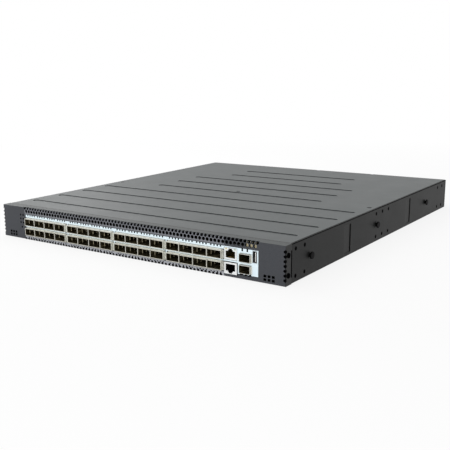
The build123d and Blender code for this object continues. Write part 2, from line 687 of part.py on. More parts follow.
def rj45_jack(upper):
    """One shielded network jack, latch side away from the board, with its stepped tab recess."""
    low, high = jack_limits(upper)
    sign = 1 if upper else -1
    near = low if upper else high
    body = block(JACK_CENTRE - JACK_WIDTH / 2, JACK_CENTRE + JACK_WIDTH / 2, Y_FACE - LABEL_SHEET,
                 Y_FACE + JACK_DEPTH, low, high)
    foot = BOARD_TOP if upper else BOARD_BOTTOM
    seat = sorted((foot, near))
    body += block(JACK_CENTRE - JACK_WIDTH / 3, JACK_CENTRE + JACK_WIDTH / 3, Y_FACE + 2 * BOARD_SETBACK,
                  Y_FACE + JACK_DEPTH, *seat)
    floor = near + sign * JACK_CAVITY_INSET
    roof = floor + sign * JACK_CAVITY_HEIGHT
    half = JACK_CAVITY_WIDTH / 2
    cavity = rect(JACK_CENTRE - half, JACK_CENTRE + half, *sorted((floor, roof)))
    for step, width in enumerate(JACK_TAB_WIDTHS):
        start = roof + sign * step * JACK_TAB_STEP
        end = start + sign * JACK_TAB_STEP
        cavity += rect(JACK_CENTRE - width / 2, JACK_CENTRE + width / 2, *sorted((start, end)))
    return body - along_y(cavity, Y_FACE - 1, Y_FACE + JACK_CAVITY_DEPTH)


def usb_port():
    """The upright serial-bus socket: a drawn shell round an insulating tongue."""
    outer = Rectangle(USB_WIDTH, USB_HEIGHT)
    inner = Rectangle(USB_WIDTH - 2 * USB_WALL, USB_HEIGHT - 2 * USB_WALL)
    place = Pos(USB_CENTRE, USB_MIDDLE)
    shell = along_y(place * (outer - inner), Y_LABEL, Y_FACE + USB_DEPTH)
    shell += along_y(place * outer, Y_FACE + USB_DEPTH, Y_FACE + USB_DEPTH + USB_WIDTH)
    foot = USB_MIDDLE - USB_HEIGHT / 2
    shell += block(USB_CENTRE - USB_WIDTH / 2, USB_CENTRE + USB_WIDTH / 2, Y_FACE + 2 * BOARD_SETBACK,
                   Y_FACE + USB_DEPTH + USB_WIDTH, BOARD_TOP, foot)
    x = USB_CENTRE + USB_TONGUE_SIDE
    tall = USB_HEIGHT / 2 - USB_WALL - USB_TONGUE_MARGIN
    tongue = block(x, x + USB_TONGUE_SHEET, Y_FACE, Y_FACE + USB_DEPTH, USB_MIDDLE - tall, USB_MIDDLE + tall)
    return [shell, tongue]


def light_pipes():
    """Clear light guides: a bar behind each row of port lamps and a holder for the six status lamps."""
    y0 = Y_FACE + PANEL_SHEET + SEAT_GAP
    y1 = y0 + LIGHT_BAR_DEPTH
    left = group_left(0)
    right = group_left(GROUPS - 1) + GROUP_WIDTH
    top = row_limits(True)[1] + CAGE_WALL
    bottom = row_limits(False)[0] - CAGE_WALL
    drop = LIGHT_BAR_DROP
    crest = top + LIGHT_BAR_REACH
    under_crest, inside = crest - LIGHT_BAR_SHEET, y1 - LIGHT_BAR_SHEET
    above = Polyline((y0, crest), (y0, under_crest), (inside, under_crest), (inside, top), (y1, top),
                     (y1, crest), close=True)
    under = Polyline((y0, bottom - drop), (y1, bottom - drop), (y1, bottom), (y1 - LIGHT_BAR_SHEET, bottom),
                     (y1 - LIGHT_BAR_SHEET, bottom - drop + LIGHT_BAR_SHEET / 2),
                     (y0, bottom - drop + LIGHT_BAR_SHEET / 2), close=True)
    bars = [along_x(make_face(above), left, right), along_x(make_face(under), left, right)]
    x0, x1 = LAMP_COLUMNS[0] - 2 * LAMP_RADIUS, LAMP_COLUMNS[-1] + 2 * LAMP_RADIUS
    holder = block(x0, x1, y0 - SEAT_GAP, y0 + LAMP_HOLDER_DEPTH, BOARD_TOP, LAMP_ROWS[0] + 2 * LAMP_RADIUS)
    for x in LAMP_COLUMNS:
        for z in LAMP_ROWS:
            holder += rod(LAMP_RADIUS - SPRING_GAP, (x, Y_FACE, z), (x, y0, z))
    return bars + [holder]


def reset_switch():
    """The reset switch, let into the front edge of the board behind its pinhole."""
    half = RESET_SWITCH_SIZE / 2
    y0 = Y_FACE + PANEL_SHEET + SEAT_GAP + RESET_BUTTON_LENGTH
    body = block(RESET_X - half, RESET_X + half, y0, y0 + RESET_SWITCH_DEPTH, RESET_Z - half, RESET_Z + half)
    well = rod(RESET_BUTTON_RADIUS + SEAT_GAP, (RESET_X, y0 - 1, RESET_Z),
               (RESET_X, y0 + RESET_TRAVEL + SEAT_GAP, RESET_Z))
    return body - well


def reset_button():
    """The plunger that a pin presses through the pinhole."""
    y0 = Y_FACE + PANEL_SHEET + SEAT_GAP
    return rod(RESET_BUTTON_RADIUS, (RESET_X, y0, RESET_Z), (RESET_X, y0 + RESET_BUTTON_LENGTH, RESET_Z))


def main_board():
    """The main board, notched at its front edge for the reset switch."""
    front = Y_FACE + BOARD_SETBACK
    board = block(-BOARD_HALF_WIDTH, BOARD_HALF_WIDTH, front, front + BOARD_DEPTH, BOARD_BOTTOM, BOARD_TOP)
    half = RESET_SWITCH_SIZE / 2 + SEAT_GAP
    depth = PANEL_SHEET + 2 * SEAT_GAP + RESET_BUTTON_LENGTH + RESET_SWITCH_DEPTH
    return board - block(RESET_X - half, RESET_X + half, front - 1, Y_FACE + depth, 0, HEIGHT)


def board_standoffs():
    """Hexagonal standoffs under the main board."""
    posts = []
    for x in STANDOFF_COLUMNS:
        for place in STANDOFF_ROWS:
            post = Pos(x, Y_FACE + place) * hexagon(STANDOFF_FLATS)
            posts.append(along_z(post, BASE_SHEET, BOARD_BOTTOM))
    return posts


def switch_chip():
    """The packet processor on the main board."""
    y = Y_FACE + CHIP_FROM_FACE
    base = Pos(0, y) * Rectangle(CHIP_SIZE, CHIP_SIZE)
    lid = Pos(0, y) * Rectangle(CHIP_SIZE - 2 * CHIP_RIM, CHIP_SIZE - 2 * CHIP_RIM)
    chip = along_z(base, BOARD_TOP, BOARD_TOP + CHIP_HEIGHT / 2)
    return chip + along_z(lid, BOARD_TOP, BOARD_TOP + CHIP_HEIGHT)


def finned_sink(width, fins, top, bottom):
    """Profile of a heatsink: a base with upright fins, about X = 0."""
    profile = rect(-width / 2, width / 2, bottom, bottom + SINK_BASE)
    step = (width - SINK_FIN_SHEET) / (fins - 1)
    for i in range(fins):
        x = -width / 2 + i * step
        profile += rect(x, x + SINK_FIN_SHEET, bottom, top)
    return profile


def switch_heatsink():
    """The finned sink over the packet processor, fins running front to back with the air."""
    bottom = BOARD_TOP + CHIP_HEIGHT
    top = BEAD_UNDER - SINK_COVER_GAP
    y = Y_FACE + CHIP_FROM_FACE
    return along_y(finned_sink(SINK_WIDTH, SINK_FINS, top, bottom), y - SINK_DEPTH / 2, y + SINK_DEPTH / 2)


def cpu_levels():
    """Z of the processor board's underside and top."""
    low = BOARD_TOP + CPU_BOARD_LIFT
    return low, low + CPU_BOARD_SHEET


def cpu_board():
    """The processor board on its pillars above the main board."""
    low, high = cpu_levels()
    x0, y0 = CPU_BOARD_LEFT, Y_FACE + CPU_BOARD_FROM_FACE
    x1, y1 = x0 + CPU_BOARD_WIDTH, y0 + CPU_BOARD_DEPTH
    board = block(x0, x1, y0, y1, low, high)
    inset = STANDOFF_FLATS
    for x in (x0 + inset, x1 - inset):
        for y in (y0 + inset, y1 - inset):
            board += along_z(Pos(x, y) * hexagon(STANDOFF_FLATS), BOARD_TOP, low)
    return board


def cpu_heatsink():
    """The smaller sink on the processor board."""
    top = BEAD_UNDER - SINK_COVER_GAP
    x = CPU_BOARD_LEFT + CPU_BOARD_WIDTH / 2
    y = Y_FACE + CPU_BOARD_FROM_FACE + STANDOFF_FLATS
    profile = finned_sink(CPU_SINK_WIDTH, CPU_SINK_FINS, top, cpu_levels()[1])
    return Pos(x, 0, 0) * along_y(profile, y, y + CPU_SINK_DEPTH)


def memory_module():
    """The memory module lying flat behind the processor's sink."""
    x = CPU_BOARD_LEFT + CPU_BOARD_WIDTH / 2
    y = Y_FACE + CPU_BOARD_FROM_FACE + STANDOFF_FLATS + CPU_SINK_DEPTH + SEAT_GAP
    return block(x - MEMORY_WIDTH / 2, x + MEMORY_WIDTH / 2, y, y + MEMORY_DEPTH, cpu_levels()[1],
                 cpu_levels()[1] + MEMORY_SHEET)


def power_inductors():
    """Regulator coils in a row behind the packet processor."""
    coils = []
    y = Y_FACE + CHIP_FROM_FACE + SINK_DEPTH / 2 + INDUCTOR_PITCH
    for i in range(INDUCTOR_COUNT):
        x = (i - (INDUCTOR_COUNT - 1) / 2) * INDUCTOR_PITCH
        outline = Rectangle(INDUCTOR_SIZE, INDUCTOR_SIZE)
        outline = chamfer(outline.vertices(), INDUCTOR_CORNER)
        coils.append(along_z(Pos(x, y) * outline, BOARD_TOP, BOARD_TOP + INDUCTOR_HEIGHT))
    return coils


def low_board(x0, x1, y0, y1, supports):
    """A thin board on pillars above the chassis floor."""
    low = BASE_SHEET + LOW_BOARD_LIFT
    board = block(x0, x1, y0, y1, low, low + LOW_BOARD_SHEET)
    for x in supports:
        board += along_z(Pos(x, (y0 + y1) / 2) * hexagon(STANDOFF_FLATS), BASE_SHEET, low)
    return board


def fan_bay_left(index):
    """X of the left limit of one fan bay."""
    return -FAN_FIELD + index * FAN_BAY_PITCH


def fan_board():
    """The board in front of the fan bays, with a plug-in header for each tray."""
    y1 = Y_REAR - TRAY_DEPTH - PLUG_DEPTH - SEAT_GAP
    y0 = y1 - FAN_BOARD_DEPTH
    edge = FAN_FIELD - FRAME_SHEET
    board = low_board(-edge, edge, y0, y1, (-edge * 0.9, 0, edge * 0.9))
    top = BASE_SHEET + LOW_BOARD_LIFT + LOW_BOARD_SHEET
    for i in range(FAN_COUNT):
        x = fan_bay_left(i) + FAN_BAY / 2
        board += block(x - PLUG_WIDTH / 2, x + PLUG_WIDTH / 2, y1 - PLUG_DEPTH, y1, top, top + PLUG_HEIGHT)
    return board


def power_board():
    """The board that joins both supplies, with an edge socket for each."""
    y1 = Y_REAR - PSU_DEPTH - SEAT_GAP
    y0 = y1 - POWER_BOARD_DEPTH
    edge = PSU_BAY_OUTER - SLIDE_GAP
    middle = (PSU_BAY_INNER + PSU_BAY_OUTER) / 2
    board = low_board(-edge, edge, y0, y1, (-middle, 0, middle))
    top = BASE_SHEET + LOW_BOARD_LIFT + LOW_BOARD_SHEET
    for side in (-1, 1):
        x = side * middle
        board += block(x - PLUG_WIDTH, x + PLUG_WIDTH, y1 - PLUG_DEPTH, y1, top, top + PLUG_HEIGHT)
    return board


def inner_frame():
    """Upright sheets on the chassis floor: bay partitions and brackets for the cover's screws."""
    walls = cover_brackets()
    for i in range(1, FAN_COUNT):
        x = fan_bay_left(i) - FRAME_SHEET
        walls.append(block(x, x + FRAME_SHEET, Y_REAR - TRAY_DEPTH, Y_REAR, BASE_SHEET, BAY_TOP))
    for side in (-1, 1):
        x = sorted((side * PSU_BAY_INNER, side * FAN_FIELD))
        walls.append(block(*x, Y_REAR - PSU_DEPTH, Y_REAR, BASE_SHEET, BAY_TOP))
    return walls


def rail_studs():
    """Shouldered studs welded to the side walls, on which slide rails hang."""
    studs = []
    for side in (-1, 1):
        neck, head = side * (HALF + STUD_NECK_LENGTH), side * (HALF + STUD_NECK_LENGTH + STUD_HEAD_LENGTH)
        for place in STUD_PLACES:
            y = Y_FACE + place
            studs.append(rod(STUD_NECK_RADIUS, (side * HALF, y, STUD_HEIGHT), (neck, y, STUD_HEIGHT))
                         + rod(STUD_HEAD_RADIUS, (neck, y, STUD_HEIGHT), (head, y, STUD_HEIGHT)))
    return studs


def panel_screws():
    """Screws through the panel's side flanges into the joggled edge of the base."""
    screws = []
    for side in (-1, 1):
        for height in PANEL_SCREW_HEIGHTS:
            y = Y_FACE + PANEL_SCREW_INSET
            tip, seat, top = side * (HALF - SCREW_LENGTH), side * HALF, side * (HALF + SCREW_HEAD_LENGTH)
            screws.append(rod(SCREW_RADIUS, (tip, y, height), (seat, y, height))
                          + rod(SCREW_HEAD_RADIUS, (seat, y, height), (top, y, height)))
    return screws


def cover_screws():
    """Screws sunk in the cover, each in the bracket that it is driven into."""
    screws = []
    for x, place in COVER_SCREW_PLACES:
        y = Y_FACE + place
        seat = HEIGHT - COVER_SCREW_SINK
        screws.append(rod(SCREW_RADIUS, (x, y, seat - SCREW_LENGTH), (x, y, seat))
                      + rod(SCREW_HEAD_RADIUS, (x, y, seat), (x, y, seat + COVER_SCREW_HEAD)))
    return screws


def cover_brackets():
    """Folded brackets under the cover, threaded for its screws."""
    brackets = []
    half = COVER_BRACKET_WIDTH / 2
    for x, place in COVER_SCREW_PLACES:
        y = Y_FACE + place
        top = COVER_UNDER - SEAT_GAP
        angle = rect(y - half, y + half, top - FRAME_SHEET, top)
        angle += rect(y + half - FRAME_SHEET, y + half, BASE_SHEET, top)
        bracket = along_x(angle, x - half, x + half)
        hole = rod(SCREW_RADIUS + SCREW_CLEARANCE, (x, y, top - 2 * FRAME_SHEET), (x, y, HEIGHT))
        brackets.append(bracket - hole)
    return brackets


def fan_frame():
    """A square fan frame with its bore, struts and motor base, about the axis Y."""
    frame = along_y(Rectangle(FAN_SIZE, FAN_SIZE) - disc(FAN_BORE_RADIUS, BORE_SIDES), 0, FAN_LENGTH)
    strut = Rectangle(2 * FAN_BORE_RADIUS + 1, STRUT_WIDTH)
    return frame + along_y(strut + disc(ROTOR_HUB_RADIUS), FAN_LENGTH - MOTOR_BASE_LENGTH, FAN_LENGTH)


def rotor():
    """A fan rotor: a hub and pitched blades, about the axis Y."""
    back = FAN_LENGTH - MOTOR_BASE_LENGTH - SEAT_GAP
    front = back - ROTOR_LENGTH
    wheel = along_y(disc(ROTOR_HUB_RADIUS), front, back)
    sweep = (ROTOR_CHORD * math.sin(math.radians(ROTOR_PITCH)) + ROTOR_BLADE_SHEET) / 2
    tip = math.sqrt(ROTOR_RADIUS ** 2 - sweep ** 2)
    root = ROTOR_HUB_RADIUS - ROTOR_ROOT_SINK
    blade = Rot(0, 0, ROTOR_PITCH) * Box(ROTOR_BLADE_SHEET, ROTOR_CHORD, tip - root)
    blade = Pos(0, (front + back) / 2, (root + tip) / 2) * blade
    for i in range(ROTOR_BLADES):
        wheel += Rot(0, 360 / ROTOR_BLADES * i, 0) * blade
    return wheel


def handle(span):
    """A bent strip handle on the rear face, spanning X about the axis Y, with its feet on the face."""
    half, inside = span / 2, span / 2 - HANDLE_SHEET
    loop = rect(-half, half, Y_REAR, Y_REAR + REAR_REACH)
    loop = chamfer(loop.vertices().group_by(Axis.Y)[-1], HANDLE_CORNER)
    hole = rect(-inside, inside, Y_REAR - 1, Y_REAR + REAR_REACH - HANDLE_SHEET)
    hole = chamfer(hole.vertices().group_by(Axis.Y)[-1], HANDLE_CORNER - HANDLE_SHEET / 2)
    return along_z(loop - hole, -HANDLE_HEIGHT / 2, HANDLE_HEIGHT / 2)


def latch_pivot(wall):
    """X and Y of a latch's pin, beside the side wall that carries it."""
    return wall + LATCH_WALL_GAP + LATCH_SHEET / 2, Y_REAR - LATCH_PIVOT_INSET


def latch(wall, z, reach_x):
    """A sprung latch lever beside a wall: eye, blade, nose towards the bay side and a thumb pad."""
    x, y = latch_pivot(wall)
    half = LATCH_SHEET / 2
    end = Y_REAR + LATCH_REACH
    blade = rect(x - half, x + half, y, end)
    pad = rect(x - half, x - half + LATCH_PAD_SHEET, end - LATCH_PAD_SIZE, end)
    nose_y = Y_REAR - LATCH_NOSE_INSET
    nose = make_face(Polyline((x + half, nose_y), (reach_x, nose_y), (x + half, nose_y + LATCH_NOSE_LENGTH),
                              close=True))
    eye = rect(x - LATCH_EYE_HALF, x + LATCH_EYE_HALF, y - LATCH_EYE_HALF, y + LATCH_EYE_HALF)
    outline = blade + pad + nose + eye
    outline -= Pos(x, y) * disc(LATCH_PIN_RADIUS + LATCH_PIN_GAP)
    return along_z(outline, z - LATCH_HEIGHT / 2, z + LATCH_HEIGHT / 2)


def latch_ears(wall, z):
    """The two ears and the pin that carry a latch, standing on a side wall."""
    x, y = latch_pivot(wall)
    foot = rect(wall - TRAY_SHEET / 2, x + LATCH_EYE_HALF, y - LATCH_EYE_HALF, y + LATCH_EYE_HALF)
    start = LATCH_HEIGHT / 2 + SEAT_GAP
    ears = along_z(foot, z + start, z + start + EAR_SHEET) + along_z(foot, z - start - EAR_SHEET, z - start)
    return ears + along_z(Pos(x, y) * disc(LATCH_PIN_RADIUS), z - start - EAR_SHEET, z + start + EAR_SHEET)


def tray_places(index):
    """X of a tray's left side, of its fan's axis and of its latch wall."""
    left = fan_bay_left(index) + SLIDE_GAP
    axis = left + TRAY_SHEET + FAN_SIZE / 2
    return left, axis, left + 2 * TRAY_SHEET + FAN_SIZE


def fan_tray(index):
    """A hot-swap fan tray: folded carrier with its face, its handle, its fan frame and its plug."""
    left, axis, wall = tray_places(index)
    right = left + TRAY_WIDTH
    top = TRAY_BOTTOM + TRAY_HEIGHT
    front = Y_REAR - TRAY_DEPTH
    trough = rect(left, wall, TRAY_BOTTOM, top - TRAY_SHEET)
    trough -= rect(left + TRAY_SHEET, wall - TRAY_SHEET, TRAY_BOTTOM + TRAY_SHEET, top)
    carrier = along_y(trough, front, Y_REAR)
    face = rect(left, right, TRAY_BOTTOM, top)
    opening = Pos(axis, FAN_MIDDLE) * disc(FACE_HOLE_RADIUS, BORE_SIDES)
    slot_half = LATCH_HEIGHT / 2 + SEAT_GAP
    slot = rect(wall, right + 1, FAN_MIDDLE - slot_half, FAN_MIDDLE + slot_half)
    carrier += along_y(face - opening - slot, Y_REAR - TRAY_SHEET, Y_REAR)
    carrier += latch_ears(wall, FAN_MIDDLE)
    grip = Pos(axis, 0, FAN_MIDDLE) * handle(TRAY_HANDLE_SPAN)
    fan_front = Y_REAR - TRAY_SHEET - FAN_SETBACK - FAN_LENGTH
    frame = Pos(axis, fan_front, FAN_MIDDLE) * fan_frame()
    bay_middle = fan_bay_left(index) + FAN_BAY / 2
    low = BASE_SHEET + LOW_BOARD_LIFT + LOW_BOARD_SHEET
    plug = block(bay_middle - PLUG_WIDTH / 2, bay_middle + PLUG_WIDTH / 2, front - PLUG_DEPTH,
                 front + PLUG_DEPTH, low, low + PLUG_HEIGHT)
    shelf = block(bay_middle - PLUG_WIDTH / 2, bay_middle + PLUG_WIDTH / 2, front, front + PLUG_DEPTH,
                  TRAY_BOTTOM + TRAY_SHEET, low)
    return [carrier, grip, frame, plug + shelf]


def tray_rotor(index):
    """One fan tray's rotor in its place."""
    axis = tray_places(index)[1]
    return Pos(axis, Y_REAR - TRAY_SHEET - FAN_SETBACK - FAN_LENGTH, FAN_MIDDLE) * rotor()


def tray_latch(index):
    """One fan tray's latch lever in its place."""
    left, _, wall = tray_places(index)
    return latch(wall, FAN_MIDDLE, left + TRAY_WIDTH)


def psu_places(side):
    """X of a supply's left and right sides."""
    middle = side * (PSU_BAY_INNER + PSU_BAY_OUTER) / 2
    return middle - PSU_WIDTH / 2, middle + PSU_WIDTH / 2


def psu_latch_wall(side):
    """X of the wall in a supply's latch recess that carries the latch."""
    return psu_places(side)[1] - LATCH_WALL_GAP - LATCH_PAD_SHEET


def psu_case(side):
    """A power supply's case: fan well in front, inlet pocket, vents, handle and latch recess behind."""
    left, right = psu_places(side)
    z0, z1 = TRAY_BOTTOM, TRAY_BOTTOM + PSU_HEIGHT
    y0 = Y_REAR - PSU_DEPTH
    case = block(left, right, y0, Y_REAR, z0, z1)
    case = chamfer(case.edges().filter_by(Axis.Y), TRAY_SHEET)
    middle = (left + right) / 2
    well = along_y(disc(FAN_BORE_RADIUS, BORE_SIDES), -1, FAN_LENGTH - MOTOR_BASE_LENGTH)
    case -= Pos(middle, y0, PSU_MIDDLE) * well
    wall = psu_latch_wall(side)
    depth = LATCH_PIVOT_INSET + 2 * LATCH_EYE_HALF
    tall = LATCH_HEIGHT / 2 + SEAT_GAP + EAR_SHEET
    case -= block(wall, right + 1, Y_REAR - depth, Y_REAR + 1, PSU_MIDDLE - tall, PSU_MIDDLE + tall)
    case += latch_ears(wall, PSU_MIDDLE)
    inlet = left + INLET_FROM_SIDE + INLET_WIDTH / 2
    pocket = Pos(inlet, PSU_MIDDLE) * Rectangle(INLET_WIDTH + SEAT_GAP, INLET_HEIGHT + SEAT_GAP)
    case -= along_y(pocket, Y_REAR - INLET_DEPTH, Y_REAR + 1)
    grip = (inlet + INLET_WIDTH / 2 + wall) / 2
    for i in range(PSU_SLOTS):
        x = grip + (i - (PSU_SLOTS - 1) / 2) * PSU_SLOT_PITCH
        case -= Pos(x, Y_REAR, PSU_MIDDLE) * Box(PSU_SLOT_WIDTH, 2 * PSU_SLOT_DEPTH, PSU_SLOT_HEIGHT)
    return [case, Pos(grip, 0, PSU_MIDDLE) * Rot(0, 90, 0) * handle(PSU_HANDLE_SPAN)]


def psu_inlet(side):
    """The three-pin power inlet, an insert in the supply's face."""
    left = psu_places(side)[0]
    x = left + INLET_FROM_SIDE + INLET_WIDTH / 2
    body = Rectangle(INLET_WIDTH, INLET_HEIGHT)
    cavity = Rectangle(INLET_CAVITY_WIDTH, INLET_CAVITY_HEIGHT)
    cavity = chamfer(cavity.vertices().group_by(Axis.Y)[-1], INLET_CORNER)
    solid = along_y(body, -INLET_DEPTH, 0) - along_y(cavity, -INLET_CAVITY_DEPTH, 1)
    for pin_x, pin_z in ((-INLET_PIN_SPREAD, 0), (0, INLET_PIN_RAISE), (INLET_PIN_SPREAD, 0)):
        pin = Pos(pin_x, pin_z) * Rectangle(INLET_PIN_WIDTH, INLET_PIN_HEIGHT)
        solid += along_y(pin, -INLET_CAVITY_DEPTH, -INLET_CAVITY_DEPTH + INLET_PIN_LENGTH)
    return Pos(x, Y_REAR, PSU_MIDDLE) * solid


def save(name, pieces):
    """Writes one node, of one solid or of a group of separate solids."""
    solids = []
    for piece in pieces if isinstance(pieces, list) else [pieces]:
        solids += piece.solids()
    export_step(solids[0] if len(solids) == 1 else Compound(solids), f"parts/{name}.step")


def main():
    """Builds every node and writes it to its file."""
    os.makedirs("parts", exist_ok=True)
    save("chassis_base", chassis_base())
    save("front_panel", front_panel())
    save("top_cover", top_cover())
    save("label_overlay", label_overlay())
    for group in range(GROUPS):
        save(f"port_cage_upper_{group + 1}", cage(group, True))
        save(f"port_cage_lower_{group + 1}", cage(group, False))
    save("cage_springs", cage_springs())
    save("port_connectors", port_connectors())
    save("sfp_cages", [sfp_cage(True), sfp_cage(False)])
    save("rj45_jacks", [rj45_jack(True), rj45_jack(False)])
    save("usb_port", usb_port())
    save("light_pipes", light_pipes())
    save("reset_switch", reset_switch())
    save("reset_button", reset_button())
    save("main_board", main_board())
    save("board_standoffs", board_standoffs())
    save("switch_chip", switch_chip())
    save("switch_heatsink", switch_heatsink())
    save("cpu_board", cpu_board())
    save("cpu_heatsink", cpu_heatsink())
    save("memory_module", memory_module())
    save("power_inductors", power_inductors())
    save("fan_board", fan_board())
    save("power_board", power_board())
    save("inner_frame", inner_frame())
    save("rail_studs", rail_studs())
    save("panel_screws", panel_screws())
    save("cover_screws", cover_screws())
    for index in range(FAN_COUNT):
        save(f"fan_tray_{index + 1}", fan_tray(index))
        save(f"fan_rotor_{index + 1}", tray_rotor(index))
        save(f"fan_latch_{index + 1}", tray_latch(index))
    for side, name in ((-1, "left"), (1, "right")):
        left, right = psu_places(side)
        save(f"psu_case_{name}", psu_case(side))
        save(f"psu_inlet_{name}", psu_inlet(side))
        save(f"psu_rotor_{name}", Pos((left + right) / 2, Y_REAR - PSU_DEPTH, PSU_MIDDLE) * rotor())
        save(f"psu_latch_{name}", latch(psu_latch_wall(side), PSU_MIDDLE, right))


main()
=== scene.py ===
"""Looks of a one-unit bare-metal ethernet switch: finishes, small fittings, studio and camera.

Every length is in metres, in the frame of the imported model: +X right, +Y back, +Z up.
"""

import logging
import math
from dataclasses import dataclass, field
from enum import Enum

import bmesh
import bpy
from mathutils import Matrix, Vector


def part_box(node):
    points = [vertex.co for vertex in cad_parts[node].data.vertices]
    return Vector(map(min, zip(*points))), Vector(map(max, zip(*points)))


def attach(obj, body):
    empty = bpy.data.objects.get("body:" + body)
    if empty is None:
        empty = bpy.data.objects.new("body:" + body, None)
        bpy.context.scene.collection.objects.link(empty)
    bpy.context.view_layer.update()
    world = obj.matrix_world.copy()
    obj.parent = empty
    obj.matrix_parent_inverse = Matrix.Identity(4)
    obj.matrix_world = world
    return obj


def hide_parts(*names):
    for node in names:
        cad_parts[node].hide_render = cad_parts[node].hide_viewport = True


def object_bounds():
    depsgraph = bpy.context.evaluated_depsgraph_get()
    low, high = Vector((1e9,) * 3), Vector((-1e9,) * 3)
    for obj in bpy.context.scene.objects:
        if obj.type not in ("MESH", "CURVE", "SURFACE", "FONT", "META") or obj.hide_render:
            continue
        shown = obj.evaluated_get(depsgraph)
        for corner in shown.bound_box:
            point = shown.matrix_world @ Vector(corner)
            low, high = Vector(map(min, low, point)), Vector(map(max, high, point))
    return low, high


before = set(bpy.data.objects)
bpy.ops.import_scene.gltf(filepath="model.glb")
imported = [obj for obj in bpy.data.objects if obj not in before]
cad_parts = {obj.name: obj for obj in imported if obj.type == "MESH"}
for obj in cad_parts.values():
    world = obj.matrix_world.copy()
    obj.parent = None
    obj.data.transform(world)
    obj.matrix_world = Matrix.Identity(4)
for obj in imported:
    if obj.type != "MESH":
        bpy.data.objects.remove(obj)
CAD_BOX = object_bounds()

LOG = logging.getLogger("switch_looks")
MM = 0.001
IMAGE_SIZE = 450
CHASSIS = "chassis"
FACE = CAD_BOX[0][1] + 4.0 * MM
REAR_FACE = 247.5 * MM
LABEL_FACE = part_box("label_overlay")[0][1]
LABEL_SHEET = 0.3 * MM
CAGE_WALL = 0.6 * MM
PORT_WIDTH = 17.5 * MM
PORT_PITCH = 19.0 * MM
GROUP_PITCH = 79.8 * MM
VENT_PITCH = 5.08 * MM
VENT_FLATS = 4.0 * MM
FAN_AXES = [sum(corner[0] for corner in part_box(f"fan_rotor_{number}")) / 2 for number in (1, 2)]

Point = tuple[float, float, float]
Spot = tuple[float, float]
Colour = tuple[float, float, float, float]
Outline = list[Spot]
Socket = bpy.types.NodeSocket


class Axis(Enum):
    """The direction along which an outline is drawn out into a prism."""

    X = "x"
    Y = "y"
    Z = "z"


class Side(Enum):
    """The two sides of the switch, with the sign of their X."""

    LEFT = -1
    RIGHT = 1


def linear(red: int, green: int, blue: int) -> Colour:
    """Turns a colour as a screen shows it into the shader's linear scale.

    Args:
        red: Red, 0 to 255.
        green: Green, 0 to 255.
        blue: Blue, 0 to 255.

    Returns:
        The linear colour with full opacity.
    """

    def channel(value: int) -> float:
        """One channel on the linear scale."""
        share = value / 255
        return share / 12.92 if share <= 0.04045 else ((share + 0.055) / 1.055) ** 2.4

    return channel(red), channel(green), channel(blue), 1.0


